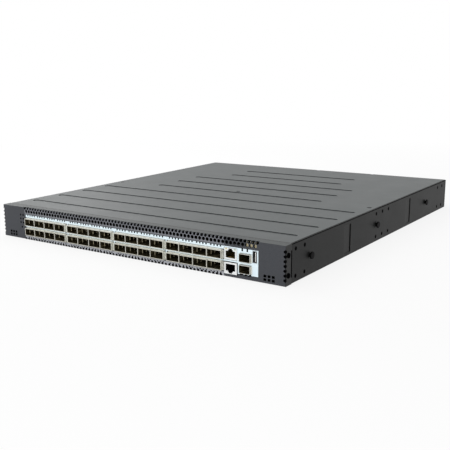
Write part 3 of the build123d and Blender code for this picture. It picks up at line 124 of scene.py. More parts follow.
class NodeSheet:
    """The node tree of one material or world, built a node at a time."""

    def __init__(self, owner: bpy.types.ID) -> None:
        """Starts with an empty tree.

        Args:
            owner: The material or world that the tree belongs to.
        """
        owner.use_nodes = True
        self.owner = owner
        self.tree = owner.node_tree
        self.tree.nodes.clear()

    def add(self, kind: str, inputs: dict | None = None, settings: dict | None = None) -> bpy.types.Node:
        """Adds one node.

        Args:
            kind: The node's type.
            inputs: Values or output sockets, by input name or number.
            settings: Properties of the node itself.

        Returns:
            The new node.
        """
        node = self.tree.nodes.new(kind)
        for name, value in (settings or {}).items():
            setattr(node, name, value)
        for name, value in (inputs or {}).items():
            if isinstance(value, Socket):
                self.tree.links.new(value, node.inputs[name])
            else:
                node.inputs[name].default_value = value
        return node

    def place(self) -> Socket:
        """The point on the piece in its own coordinates."""
        return self.add("ShaderNodeTexCoord").outputs["Object"]

    def axes(self) -> list[Socket]:
        """X, Y and Z of the point on the piece."""
        return list(self.add("ShaderNodeSeparateXYZ", {"Vector": self.place()}).outputs)

    def math(self, operation: str, *values: object) -> Socket:
        """The result of one operation on numbers or sockets."""
        return self.add("ShaderNodeMath", dict(enumerate(values)), {"operation": operation}).outputs[0]

    def noise(self, scale: float, detail: float = 2.0, stretch: Point = (1, 1, 1)) -> Socket:
        """Cloudy noise on the piece's own coordinates.

        Args:
            scale: Clouds to the metre.
            detail: Number of finer layers.
            stretch: Scale along each axis, for streaks.

        Returns:
            The noise value, about 0.5 in the middle.
        """
        spot = self.add("ShaderNodeMapping", {"Vector": self.place(), "Scale": stretch}).outputs["Vector"]
        return self.add("ShaderNodeTexNoise", {"Vector": spot, "Scale": scale, "Detail": detail}).outputs["Fac"]

    def spread(self, value: Socket, low: float, high: float, start: float = 0.3, end: float = 0.7) -> Socket:
        """Maps a value between two limits.

        Args:
            value: The value to map.
            low: Result at the start.
            high: Result at the end.
            start: Value that gives low.
            end: Value that gives high.

        Returns:
            The mapped value.
        """
        return self.add("ShaderNodeMapRange", {"Value": value, "From Min": start, "From Max": end,
                                               "To Min": low, "To Max": high}).outputs["Result"]

    def past(self, value: Socket, edge: float, blur: float) -> Socket:
        """A mask that is 0 up to an edge and 1 from a blur past it."""
        return self.spread(value, 0, 1, edge, edge + blur)

    def short_of(self, value: Socket, edge: float, blur: float) -> Socket:
        """A mask that is 1 up to an edge and 0 from a blur past it."""
        return self.spread(value, 1, 0, edge, edge + blur)

    def blend(self, share: Socket, first: object, second: object) -> Socket:
        """Mixes two colours or colour sockets by the share of the second."""
        return self.add("ShaderNodeMix", {0: share, 6: first, 7: second}, {"data_type": "RGBA"}).outputs[2]

    def layers(self, colour: Socket, *coats: tuple[Socket, object]) -> Socket:
        """Lays further colours over one, each by its mask.

        Args:
            colour: The colour at the bottom.
            coats: Mask and colour of each layer, from the bottom up.

        Returns:
            The colour at the top.
        """
        for mask, over in coats:
            colour = self.blend(mask, colour, over)
        return colour

    def relief(self, height: Socket, strength: float, depth: float, rounding: float = 0.0) -> Socket:
        """A bumped normal, on softened edges where a rounding is given.

        Args:
            height: The bump's height.
            strength: How much of the bump shows.
            depth: Height of a full bump.
            rounding: Radius of the softened edges, or 0.

        Returns:
            The normal.
        """
        inputs = {"Height": height, "Strength": strength, "Distance": depth}
        if rounding:
            inputs["Normal"] = self.add("ShaderNodeBevel", {"Radius": rounding}, {"samples": 4}).outputs["Normal"]
        return self.add("ShaderNodeBump", inputs).outputs["Normal"]


@dataclass(frozen=True)
class Finish:
    """A finish: its main colour, and in each kind of finish the recipe of its shader."""

    colour: Colour

    def inputs(self, sheet: NodeSheet) -> dict:
        """The shader's inputs by name, built on a sheet: the colour alone, where a kind says no more."""
        return {"Base Color": self.colour}

    def material(self, name: str) -> bpy.types.Material:
        """Builds the finish's material.

        Args:
            name: The material's name.

        Returns:
            The material.
        """
        sheet = NodeSheet(bpy.data.materials.new(name))
        shader = sheet.add("ShaderNodeBsdfPrincipled", self.inputs(sheet))
        sheet.add("ShaderNodeOutputMaterial", {"Surface": shader.outputs["BSDF"]})
        return sheet.owner


@dataclass(frozen=True)
class Paint(Finish):
    """Fine powder coat: an even colour with a faint cloud, a fine grain and softened edges."""

    roughness: float = 0.5
    gloss: float = 0.5
    rounding: float = 0.3 * MM
    grain: float = 2600.0
    cloud: float = 7.0
    cloud_shades: Spot = (0.96, 1.04)
    speckle: Colour = (0.3, 0.31, 0.32, 1.0)

    def coat(self, sheet: NodeSheet) -> Socket:
        """The coat's clouded colour, before its grain.

        Args:
            sheet: The sheet to build on.

        Returns:
            The colour.
        """
        darker, lighter = (tuple(min(1.0, channel * shade) for channel in self.colour[:3]) + (1.0,)
                           for shade in self.cloud_shades)
        return sheet.blend(sheet.spread(sheet.noise(self.cloud, 3.0), 0, 1), darker, lighter)

    def inputs(self, sheet: NodeSheet) -> dict:
        """The powder coat's shader.

        Args:
            sheet: The sheet to build on.

        Returns:
            The shader's inputs, by name.
        """
        grain = sheet.noise(self.grain)
        rough = sheet.spread(sheet.noise(self.cloud * 5), self.roughness - 0.01, self.roughness + 0.02)
        return {"Base Color": sheet.blend(sheet.spread(grain, 0, 0.06), self.coat(sheet), self.speckle),
                "Roughness": rough, "Specular IOR Level": self.gloss,
                "Normal": sheet.relief(grain, 0.28, 0.05 * MM, self.rounding)}


@dataclass(frozen=True)
class CoverPaint(Paint):
    """The cover's coat, with painted shade on the walls of the pressed beads and along its front lip."""

    # painted shade on the walls of the pressed beads
    bead_wall_shade: Colour = linear(22, 22, 20)
    bead_floor: float = 42.76 * MM
    bead_edge: float = 43.38 * MM
    # painted shade along the front lip, for the shadow of its rounded edge
    lip: Colour = linear(46, 48, 48)
    lip_shade_end: float = -252.6 * MM

    def coat(self, sheet: NodeSheet) -> Socket:
        """The cover's clouded colour under the painted shade on its bead walls and along its front lip.

        Args:
            sheet: The sheet to build on.

        Returns:
            The colour.
        """
        _, y, z = sheet.axes()
        # painted shade on the bead walls, between the beads' floor and their edge
        wall = sheet.math("MULTIPLY", sheet.past(z, self.bead_floor, 0.04 * MM),
                          sheet.short_of(z, self.bead_edge, 0.04 * MM))
        # the front lip is laid over in painted shade
        return sheet.layers(super().coat(sheet), (wall, self.bead_wall_shade),
                            (sheet.short_of(y, self.lip_shade_end, 0.2 * MM), self.lip))


@dataclass(frozen=True)
class PanelPaint(Paint):
    """The front panel's coat, with painted highlights over both its folds, painted light on its top return, and painted
    shade on its side returns and along its seam with the cover.
    """

    # painted shade: the side returns in the dark colour of the shaded sides
    side: Colour = linear(18, 18, 17)
    shaded_side_start: float = 219.0 * MM
    # painted highlight over the lower fold
    fold: Colour = linear(166, 168, 174)
    fold_highlight_end: float = 4.6 * MM
    fold_sides: Spot = (-176.5 * MM, 143.5 * MM)
    # painted highlight over the upper fold round the upper vents
    crown_highlight: Colour = linear(114, 116, 122)
    crown_highlight_start: float = 34.2 * MM
    # painted light on the top return
    top: Colour = linear(66, 70, 70)
    lit_top_start: float = 43.3 * MM
    # painted shade along the top return's seam with the cover
    lip: Colour = linear(46, 48, 48)
    lip_shade_start: float = -255.4 * MM

    def coat(self, sheet: NodeSheet) -> Socket:
        """The panel's clouded colour under the painted highlights of its folds, the painted light of its top return and
        the painted shade of its side returns and seam.

        Args:
            sheet: The sheet to build on.

        Returns:
            The colour.
        """
        x, y, z = sheet.axes()
        left, right = self.fold_sides
        between = sheet.math("MULTIPLY", sheet.past(x, left, 1.0 * MM), sheet.short_of(x, right, 1.0 * MM))
        # painted highlight over the lower fold
        fold = sheet.math("MULTIPLY", sheet.short_of(z, self.fold_highlight_end, 0.6 * MM), between)
        # painted highlight over the upper fold
        crown_highlight = sheet.math("MULTIPLY", sheet.past(z, self.crown_highlight_start, 1.0 * MM), between)
        # painted light on the top return, with painted shade at its seam with the cover
        top = sheet.blend(sheet.past(y, self.lip_shade_start, 0.2 * MM), self.top, self.lip)
        # painted shade on the side returns
        side_shade_mask = sheet.past(sheet.math("ABSOLUTE", x), self.shaded_side_start, 0.1 * MM)
        return sheet.layers(super().coat(sheet), (crown_highlight, self.crown_highlight),
                            (sheet.past(z, self.lit_top_start, 0.1 * MM), top), (fold, self.fold), (side_shade_mask, self.side))


@dataclass(frozen=True)
class Plate(Finish):
    """Plated or bare sheet metal with faint rolling streaks and a little tarnish."""

    tarnish: Colour
    roughness: float = 0.32
    metallic: float = 1.0
    streaks: Point = (1.0, 14.0, 14.0)
    fineness: float = 160.0
    rounding: float = 0.15 * MM

    def coat(self, sheet: NodeSheet) -> Socket:
        """The metal's colour with its tarnish."""
        return sheet.blend(sheet.spread(sheet.noise(40.0, 3.0), 0, 0.35), self.colour, self.tarnish)

    def inputs(self, sheet: NodeSheet) -> dict:
        """The metal's shader.

        Args:
            sheet: The sheet to build on.

        Returns:
            The shader's inputs, by name.
        """
        streak = sheet.noise(self.fineness, 3.0, self.streaks)
        return {"Base Color": self.coat(sheet), "Metallic": self.metallic,
                "Roughness": sheet.spread(streak, self.roughness - 0.06, self.roughness + 0.1),
                "Normal": sheet.relief(streak, 0.15, 0.03 * MM, self.rounding)}


@dataclass(frozen=True)
class CagePlate(Plate):
    """Cage metal with painted shade beside the bare sheet edge of each partition and behind the panel."""

    # painted shade beside each partition's sheet edge
    shade: Colour = linear(34, 30, 24)
    first_port: float = -171.8 * MM
    group_width: float = 74.0 * MM
    sheet_end: float = 18.25 * MM
    # painted shade on the cage behind the panel's face
    inside_shade: Colour = linear(70, 66, 56)
    inside_shade_start: float = -265.5 * MM

    def coat(self, sheet: NodeSheet) -> Socket:
        """The metal's colour, with painted shade beside the sheet edge of each partition and behind the panel.

        Args:
            sheet: The sheet to build on.

        Returns:
            The colour.
        """
        x, y, _ = sheet.axes()
        group = sheet.math("MODULO", sheet.math("SUBTRACT", x, self.first_port), GROUP_PITCH)
        # painted shade beside each partition's sheet edge, within each group
        fold = sheet.past(sheet.math("MODULO", group, PORT_PITCH), self.sheet_end, 0.05 * MM)
        shaded = sheet.math("MULTIPLY", fold, sheet.short_of(group, self.group_width, 0.05 * MM))
        # painted shade beside the partitions and behind the panel
        return sheet.layers(super().coat(sheet), (shaded, self.shade),
                            (sheet.past(y, self.inside_shade_start, 1.0 * MM), self.inside_shade))


@dataclass(frozen=True)
class TrayPlate(Plate):
    """Sheet of the fan trays, whose moulded fan frames and motor mounts are black."""

    moulded: Colour = linear(24, 24, 26)
    frame_depths: Spot = (212.3 * MM, 240.7 * MM)
    frame_size: float = 35.0 * MM
    height: float = 21.5 * MM

    def coat(self, sheet: NodeSheet) -> Socket:
        """The sheet's colour, black where the fan's frame is.

        Args:
            sheet: The sheet to build on.

        Returns:
            The colour.
        """
        x, y, z = sheet.axes()
        half = self.frame_size / 2
        start, end = self.frame_depths
        within = sheet.math("MODULO", sheet.math("SUBTRACT", x, FAN_AXES[0] - half), FAN_AXES[1] - FAN_AXES[0])
        across, upright, along = (sheet.math("COMPARE", value, middle, reach) for value, middle, reach in (
            (within, half, half - 0.1 * MM), (z, self.height, half - 0.1 * MM),
            (y, (start + end) / 2, (end - start) / 2)))
        share = sheet.math("MULTIPLY", sheet.math("MULTIPLY", across, upright), along)
        return sheet.blend(share, super().coat(sheet), self.moulded)


@dataclass(frozen=True)
class ShadedInside(Finish):
    """Painted shade for the inside of a stamped cage: dark plate, with paler streaks painted as glints along the way
    that modules slide.
    """

    # painted glints: the paler streaks
    glint_streaks: Colour
    roughness: float = 0.38

    def inputs(self, sheet: NodeSheet) -> dict:
        """The shader of the painted shade inside.

        Args:
            sheet: The sheet to build on.

        Returns:
            The shader's inputs, by name.
        """
        streak = sheet.noise(420.0, 3.0, (1.0, 0.12, 1.0))
        # paler streaks painted as glints
        return {"Base Color": sheet.blend(sheet.spread(streak, 0, 1, 0.5, 0.72), self.colour, self.glint_streaks),
                "Metallic": 0.5, "Normal": sheet.relief(streak, 0.12, 0.03 * MM),
                "Roughness": sheet.spread(streak, self.roughness - 0.06, self.roughness + 0.12)}


@dataclass(frozen=True)
class Plastic(Finish):
    """Moulded plastic with a fine mould grain and a slight cloud."""

    roughness: float = 0.45
    gloss: float = 0.5
    rounding: float = 0.3 * MM
    grain: float = 1800.0

    def inputs(self, sheet: NodeSheet) -> dict:
        """The plastic's shader.

        Args:
            sheet: The sheet to build on.

        Returns:
            The shader's inputs, by name.
        """
        cloud = sheet.spread(sheet.noise(30.0, 3.0), 0, 0.25)
        clouded = tuple(channel * 0.7 + 0.01 for channel in self.colour[:3]) + (1.0,)
        grain = sheet.noise(self.grain)
        return {"Base Color": sheet.blend(cloud, self.colour, clouded), "Specular IOR Level": self.gloss,
                "Roughness": sheet.spread(grain, self.roughness - 0.05, self.roughness + 0.08),
                "Normal": sheet.relief(grain, 0.2, 0.04 * MM, self.rounding)}


@dataclass(frozen=True)
class Hollow(Finish):
    """The unlit depth of an opening: all but black, with no gloss and a trace of dust."""

    dust: Colour

    def inputs(self, sheet: NodeSheet) -> dict:
        """The depth's shader.

        Args:
            sheet: The sheet to build on.

        Returns:
            The shader's inputs, by name.
        """
        cloud = sheet.noise(300.0, 3.0)
        return {"Base Color": sheet.blend(sheet.spread(cloud, 0, 1), self.colour, self.dust), "Roughness": 1.0,
                "Specular IOR Level": 0.0, "Normal": sheet.relief(cloud, 0.1, 0.02 * MM)}


@dataclass(frozen=True)
class Film(Finish):
    """Satin printed film of the label: pale, with a faint unevenness of its ink."""

    shade: Colour

    def inputs(self, sheet: NodeSheet) -> dict:
        """The film's shader.

        Args:
            sheet: The sheet to build on.

        Returns:
            The shader's inputs, by name.
        """
        ink = sheet.spread(sheet.noise(60.0, 4.0), 0, 0.3)
        fine = sheet.noise(2200.0)
        return {"Base Color": sheet.blend(ink, self.colour, self.shade),
                "Roughness": sheet.spread(fine, 0.34, 0.46), "Normal": sheet.relief(fine, 0.08, 0.02 * MM)}


@dataclass(frozen=True)
class Board(Finish):
    """Solder mask over copper runs, with paler pads."""

    run: Colour
    pad: Colour

    def inputs(self, sheet: NodeSheet) -> dict:
        """The circuit board's shader.

        Args:
            sheet: The sheet to build on.

        Returns:
            The shader's inputs, by name.
        """
        runs = sheet.add("ShaderNodeTexBrick", {"Vector": sheet.place(), "Color1": self.colour, "Color2": self.run,
                                                "Mortar": self.colour, "Scale": 120.0, "Mortar Size": 0.03})
        pads = sheet.add("ShaderNodeTexVoronoi", {"Vector": sheet.place(), "Scale": 260.0})
        share = sheet.spread(pads.outputs["Distance"], 1, 0, 0.1, 0.16)
        return {"Base Color": sheet.blend(share, runs.outputs["Color"], self.pad),
                "Roughness": sheet.spread(sheet.noise(90.0), 0.22, 0.36),
                "Normal": sheet.relief(runs.outputs["Fac"], 0.2, 0.03 * MM)}


@dataclass(frozen=True)
class Lamp(Finish):
    """The moulded window of a small lamp that is faintly lit."""

    glow: float = 0.05
    haze: Colour = (0.8, 0.8, 0.75, 1.0)

    def inputs(self, sheet: NodeSheet) -> dict:
        """The lamp window's shader.

        Args:
            sheet: The sheet to build on.

        Returns:
            The shader's inputs, by name.
        """
        share = sheet.spread(sheet.noise(900.0), 0, 0.3)
        return {"Base Color": sheet.blend(share, self.colour, self.haze), "Roughness": 0.25,
                "Emission Color": self.colour, "Emission Strength": self.glow}


class Surface(Enum):
    """Every finish of the switch. Its material is called after it."""

    # painted shade: the sheet paint set darker on the body, for the shade on its sides
    BODY_PAINT = Paint(linear(18, 18, 17), 0.46, 0.11)
    # painted light: the same sheet paint set lighter on the cover, for the light on the top
    COVER_PAINT = CoverPaint(linear(71, 76, 76), 0.46, 0.27, 0.12 * MM)
    PANEL_PAINT = PanelPaint(linear(55, 57, 62), 0.52, 0.25, 0.15 * MM)
    LABEL_FILM = Film(linear(228, 243, 250), linear(214, 232, 242))
    CAGE_PLATE = CagePlate(linear(214, 212, 200), linear(196, 193, 178), 0.42, 0.1)
    MODULE_PLATE = Plate(linear(206, 204, 196), linear(186, 182, 168), 0.4, 0.3)
    # painted shade inside the ports and jacks, with painted glints
    CAGE_INSIDE = ShadedInside(linear(66, 60, 42), linear(122, 112, 82))
    GUIDE_TAB = Plate(linear(188, 178, 148), linear(158, 148, 116), 0.42, 0.1)
    GASKET = Plate(linear(240, 240, 231), linear(222, 221, 209), 0.45, 0.0)
    STUD_STEEL = Plastic(linear(9, 9, 10), 0.5, 0.03)
    SHIELD = Plate(linear(236, 238, 238), linear(218, 220, 220), 0.36, 0.3)
    WHITE_PLASTIC = Plastic(linear(236, 236, 232), 0.4)
    ZINC_SHEET = Plate(linear(190, 193, 196), linear(160, 166, 172))
    TRAY_PLATE = TrayPlate(linear(190, 193, 196), linear(160, 166, 172))
    FASTENER = Plastic(linear(6, 6, 7), 0.5, 0.05)
    BLACK_PLASTIC = Plastic(linear(22, 22, 23), gloss=0.2)
    LATCH_PLASTIC = Plastic(linear(38, 58, 92), 0.4)
    LIGHT_GUIDE = Plastic(linear(8, 9, 10), 0.3, 0.05)
    CIRCUIT_BOARD = Board(linear(10, 62, 36), linear(16, 84, 48), linear(196, 176, 110))
    CHIP_LID = Plate(linear(150, 152, 156), linear(128, 130, 134), 0.4)
    FINS = Plate(linear(205, 207, 210), linear(178, 182, 186), 0.3, streaks=(14.0, 1.0, 14.0))
    BRASS = Plate(linear(214, 176, 92), linear(170, 132, 66), 0.28)
    SUPPLY_CASE = Plate(linear(176, 178, 181), linear(150, 154, 158), 0.36)
    GOLD = Plate(linear(228, 190, 110), linear(190, 150, 80), 0.25)
    # painted shade standing for the unlit depth of openings
    DARK_HOLE = Hollow(linear(7, 7, 8), linear(12, 12, 12))
    GREEN_LAMP = Lamp(linear(112, 150, 100))
    AMBER_LAMP = Lamp(linear(196, 184, 100))


def polygon(radius: float, sides: int, centre: Spot, turn: float = 0.0) -> Outline:
    """Corners of a regular polygon.

    Args:
        radius: Radius through the corners.
        sides: Number of corners.
        centre: The middle.
        turn: Turn of the first corner, in radians.

    Returns:
        The corners in order.
    """
    angles = [turn + 2 * math.pi * i / sides for i in range(sides)]
    return [(centre[0] + radius * math.cos(angle), centre[1] + radius * math.sin(angle)) for angle in angles]


def oblong(left: float, right: float, low: float, high: float) -> Outline:
    """The four corners of a rectangle."""
    return [(left, low), (right, low), (right, high), (left, high)]


def pairs(outline: Outline) -> list[tuple[Spot, Spot]]:
    """Each corner of an outline with the next one."""
    return list(zip(outline, outline[1:] + outline[:1]))


class Shape:
    """Closed meshes that the small fittings are made of."""

    def __init__(self) -> None:
        """Starts an empty shape."""
        self.mesh = bmesh.new()

    def loop(self, outline: Outline, along: float, axis: Axis) -> list[bmesh.types.BMVert]:
        """New corners for an outline at one place along an axis.

        Args:
            outline: Corners in the two directions across the axis.
            along: The place along it.
            axis: The axis.

        Returns:
            The corners in order.
        """
        spots = {Axis.X: lambda u, v: (along, u, v), Axis.Y: lambda u, v: (u, along, v),
                 Axis.Z: lambda u, v: (u, v, along)}
        return [self.mesh.verts.new(spots[axis](u, v)) for u, v in outline]

    def skin(self, loops: list[list[bmesh.types.BMVert]], closed: bool = True) -> "Shape":
        """Adds the faces between loops of equally many corners.

        Args:
            loops: The loops in order.
            closed: Whether the last one is joined to the first.

        Returns:
            The shape itself.
        """
        for here, there in zip(loops, loops[1:] + loops[:1] if closed else loops[1:]):
            for (a, b), (c, d) in zip(pairs(here), pairs(there)):
                self.mesh.faces.new((a, b, d, c))
        return self

    def prism(self, outline: Outline, low: float, high: float, axis: Axis) -> "Shape":
        """Adds an outline drawn out along an axis.

        Args:
            outline: Corners in the two directions across the axis.
            low: Where it starts along the axis.
            high: Where it ends.
            axis: The axis.

        Returns:
            The shape itself.
        """
        near, far = self.loop(outline, low, axis), self.loop(outline, high, axis)
        self.mesh.faces.new(near[::-1])
        self.mesh.faces.new(far)
        return self.skin([near, far], closed=False)

    def box(self, low: Point, high: Point) -> "Shape":
        """Adds a plain block between two corners."""
        return self.prism(oblong(low[0], high[0], low[1], high[1]), low[2], high[2], Axis.Z)

    def tube(self, outline: Outline, inset: float, low: float, high: float, axis: Axis) -> "Shape":
        """Adds an open tube: an outline with a thin wall inside it.

        Args:
            outline: Corners of its outside in the two directions across the axis.
            inset: Thickness of the wall between square corners. A round wall is nearly twice as thick.
            low: Where it starts along the axis.
            high: Where it ends.
            axis: The axis.

        Returns:
            The shape itself.
        """
        area = sum(u1 * v2 - u2 * v1 for (u1, v1), (u2, v2) in pairs(outline))
        inset = math.copysign(inset, area)
        inside = []
        for before, corner, after in zip(outline[-1:] + outline, outline, outline[1:] + outline[:1]):
            spot = Vector(corner)
            way = (spot - Vector(before)).normalized() + (Vector(after) - spot).normalized()
            inside.append((spot.x - way.y * inset, spot.y + way.x * inset))
        return self.skin([self.loop(line, along, axis) for line, along in (
            (outline, low), (outline, high), (inside, high), (inside, low))])

    def ring(self, centre: Point, radius: float, wire: float, sides: int = 36, section: int = 6) -> "Shape":
        """Adds a wire ring that lies across the axis Y.

        Args:
            centre: The ring's middle.
            radius: Radius of the wire's centre line.
            wire: Radius of the wire.
            sides: Steps round the ring.
            section: Steps round the wire.

        Returns:
            The shape itself.
        """
        loops = []
        for u, v in polygon(1.0, sides, (0.0, 0.0)):
            loops.append([self.mesh.verts.new((centre[0] + reach * u, centre[1] + rise, centre[2] + reach * v))
                          for reach, rise in polygon(wire, section, (radius, 0.0))])
        return self.skin(loops)

    def object(self, name: str, material: bpy.types.Material) -> bpy.types.Object:
        """Turns the shape into an object at the origin.

        Args:
            name: The object's name.
            material: Its finish.

        Returns:
            The new object.
        """
        bmesh.ops.recalc_face_normals(self.mesh, faces=self.mesh.faces)
        data = bpy.data.meshes.new(name)
        self.mesh.to_mesh(data)
        self.mesh.free()
        data.materials.append(material)
        piece = bpy.data.objects.new(name, data)
        bpy.context.scene.collection.objects.link(piece)
        return piece


@dataclass(frozen=True)
class Run:
    """One level of repetition: how many copies, and the step from each to the next."""

    count: int = 1
    step: Point = (0.0, 0.0, 0.0)


def across(count: int, pitch: float) -> Run:
    """Copies side by side along X."""
    return Run(count, (pitch, 0.0, 0.0))


def upwards(count: int, pitch: float) -> Run:
    """Copies over one another along Z."""
    return Run(count, (0.0, 0.0, pitch))


GROUP_RUN = across(4, GROUP_PITCH)
PORT_RUNS = (across(4, PORT_PITCH), GROUP_RUN)


class PatternTree:
    """A Geometry Nodes tree that repeats a piece's own mesh in up to three nested runs."""

    LEVELS = (1, 2, 3)

    def __init__(self) -> None:
        """Builds the tree with its named inputs."""
        self.tree = bpy.data.node_groups.new("repeat_in_runs", "GeometryNodeTree")
        face = self.tree.interface
        face.new_socket("Piece", in_out="INPUT", socket_type="NodeSocketGeometry")
        for level in self.LEVELS:
            face.new_socket(f"Count {level}", in_out="INPUT", socket_type="NodeSocketInt")
            face.new_socket(f"Step {level}", in_out="INPUT", socket_type="NodeSocketVector")
        face.new_socket("Finish", in_out="INPUT", socket_type="NodeSocketMaterial")
        face.new_socket("Pieces", in_out="OUTPUT", socket_type="NodeSocketGeometry")
        nodes, links = self.tree.nodes, self.tree.links
        entry = nodes.new("NodeGroupInput")
        shape = entry.outputs["Piece"]
        for level in self.LEVELS:
            line = nodes.new("GeometryNodeMeshLine")
            line.mode = "OFFSET"
            links.new(entry.outputs[f"Count {level}"], line.inputs["Count"])
            links.new(entry.outputs[f"Step {level}"], line.inputs["Offset"])
            copies = nodes.new("GeometryNodeInstanceOnPoints")
            links.new(line.outputs["Mesh"], copies.inputs["Points"])
            links.new(shape, copies.inputs["Instance"])
            shape = copies.outputs["Instances"]
        solid = nodes.new("GeometryNodeRealizeInstances")
        dress = nodes.new("GeometryNodeSetMaterial")
        leave = nodes.new("NodeGroupOutput")
        links.new(shape, solid.inputs["Geometry"])
        links.new(solid.outputs["Geometry"], dress.inputs["Geometry"])
        links.new(entry.outputs["Finish"], dress.inputs["Material"])
        links.new(dress.outputs["Geometry"], leave.inputs["Pieces"])
        self.sockets = {item.name: item.identifier for item in face.items_tree if item.in_out == "INPUT"}

    def repeat(self, piece: bpy.types.Object, runs: tuple[Run, ...]) -> None:
        """Repeats a piece and bakes the copies into its mesh.

        Args:
            piece: The piece, at its first place.
            runs: Up to three nested runs, the innermost first.
        """
        modifier = piece.modifiers.new("runs", "NODES")
        modifier.node_group = self.tree
        for level, run in zip(self.LEVELS, runs + (Run(), Run())):
            modifier[self.sockets[f"Count {level}"]] = run.count
            modifier[self.sockets[f"Step {level}"]] = run.step
        modifier[self.sockets["Finish"]] = piece.data.materials[0]
        baked = bpy.data.meshes.new_from_object(piece.evaluated_get(bpy.context.evaluated_depsgraph_get()))
        piece.modifiers.remove(modifier)
        baked.name = piece.name
        piece.data = baked


@dataclass
class Workshop:
    """What every sub-assembly needs: the finishes, each made once, and the repeating tree."""

    palette: dict[Surface, bpy.types.Material]
    pattern: PatternTree


@dataclass
class SubAssembly:
    """Fittings that belong together."""

    workshop: Workshop

    def fit(self, shape: Shape, name: str, surface: Surface, *runs: Run, body: str = CHASSIS) -> bpy.types.Object:
        """Makes a fitting, repeats it where asked and fixes it to a body.

        Args:
            shape: The fitting's shape at its first place.
            name: The object's name.
            surface: Its finish.
            runs: Nested runs of copies, or none.
            body: The body that carries it.

        Returns:
            The fitted object.
        """
        piece = shape.object(name, self.workshop.palette[surface])
        if runs:
            self.workshop.pattern.repeat(piece, runs)
        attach(piece, body)
        LOG.info("%s on %s: %d faces", name, body, len(piece.data.polygons))
        return piece

    def shade(self, shape: Shape, name: str, *runs: Run) -> None:
        """Makes a dark piece of painted shade in the depth or at the edge of an opening in the chassis."""
        self.fit(shape, name, Surface.DARK_HOLE, *runs)


@dataclass
class Bodywork(SubAssembly):
    """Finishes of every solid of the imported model, each with the starts of the names that it goes on."""

    surfaces: dict[Surface, tuple[str, ...]] = field(default_factory=lambda: {
        Surface.BODY_PAINT: ("chassis_base",),
        Surface.PANEL_PAINT: ("front_panel",),
        Surface.COVER_PAINT: ("top_cover",),
        Surface.LABEL_FILM: ("label_overlay",),
        Surface.CAGE_PLATE: ("port_cage",),
        Surface.GASKET: ("cage_springs",),
        Surface.MODULE_PLATE: ("sfp_cages",),
        Surface.SHIELD: ("rj45_jacks",),
        Surface.LIGHT_GUIDE: ("light_pipes",),
        Surface.BLACK_PLASTIC: ("port_connectors", "reset", "power_inductors", "fan_rotor", "psu_inlet",
                                "psu_rotor"),
        Surface.CIRCUIT_BOARD: ("main_board", "cpu_board", "memory_module", "fan_board", "power_board"),
        Surface.BRASS: ("board_standoffs",),
        Surface.CHIP_LID: ("switch_chip",),
        Surface.FINS: ("switch_heatsink", "cpu_heatsink"),
        Surface.ZINC_SHEET: ("usb_port", "inner_frame"),
        Surface.STUD_STEEL: ("rail_studs",),
        Surface.DARK_HOLE: ("panel_screws",),
        Surface.FASTENER: ("cover_screws",),
        Surface.TRAY_PLATE: ("fan_tray",),
        Surface.LATCH_PLASTIC: ("fan_latch", "psu_latch"),
        Surface.SUPPLY_CASE: ("psu_case",),
    })

    def build(self) -> None:
        """Gives every solid its finish."""
        for name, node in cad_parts.items():
            surface = next(surface for surface, starts in self.surfaces.items() if name.startswith(starts))
            node.data.materials.clear()
            node.data.materials.append(self.workshop.palette[surface])
            LOG.info("%s dressed in %s", name, surface.name.lower())


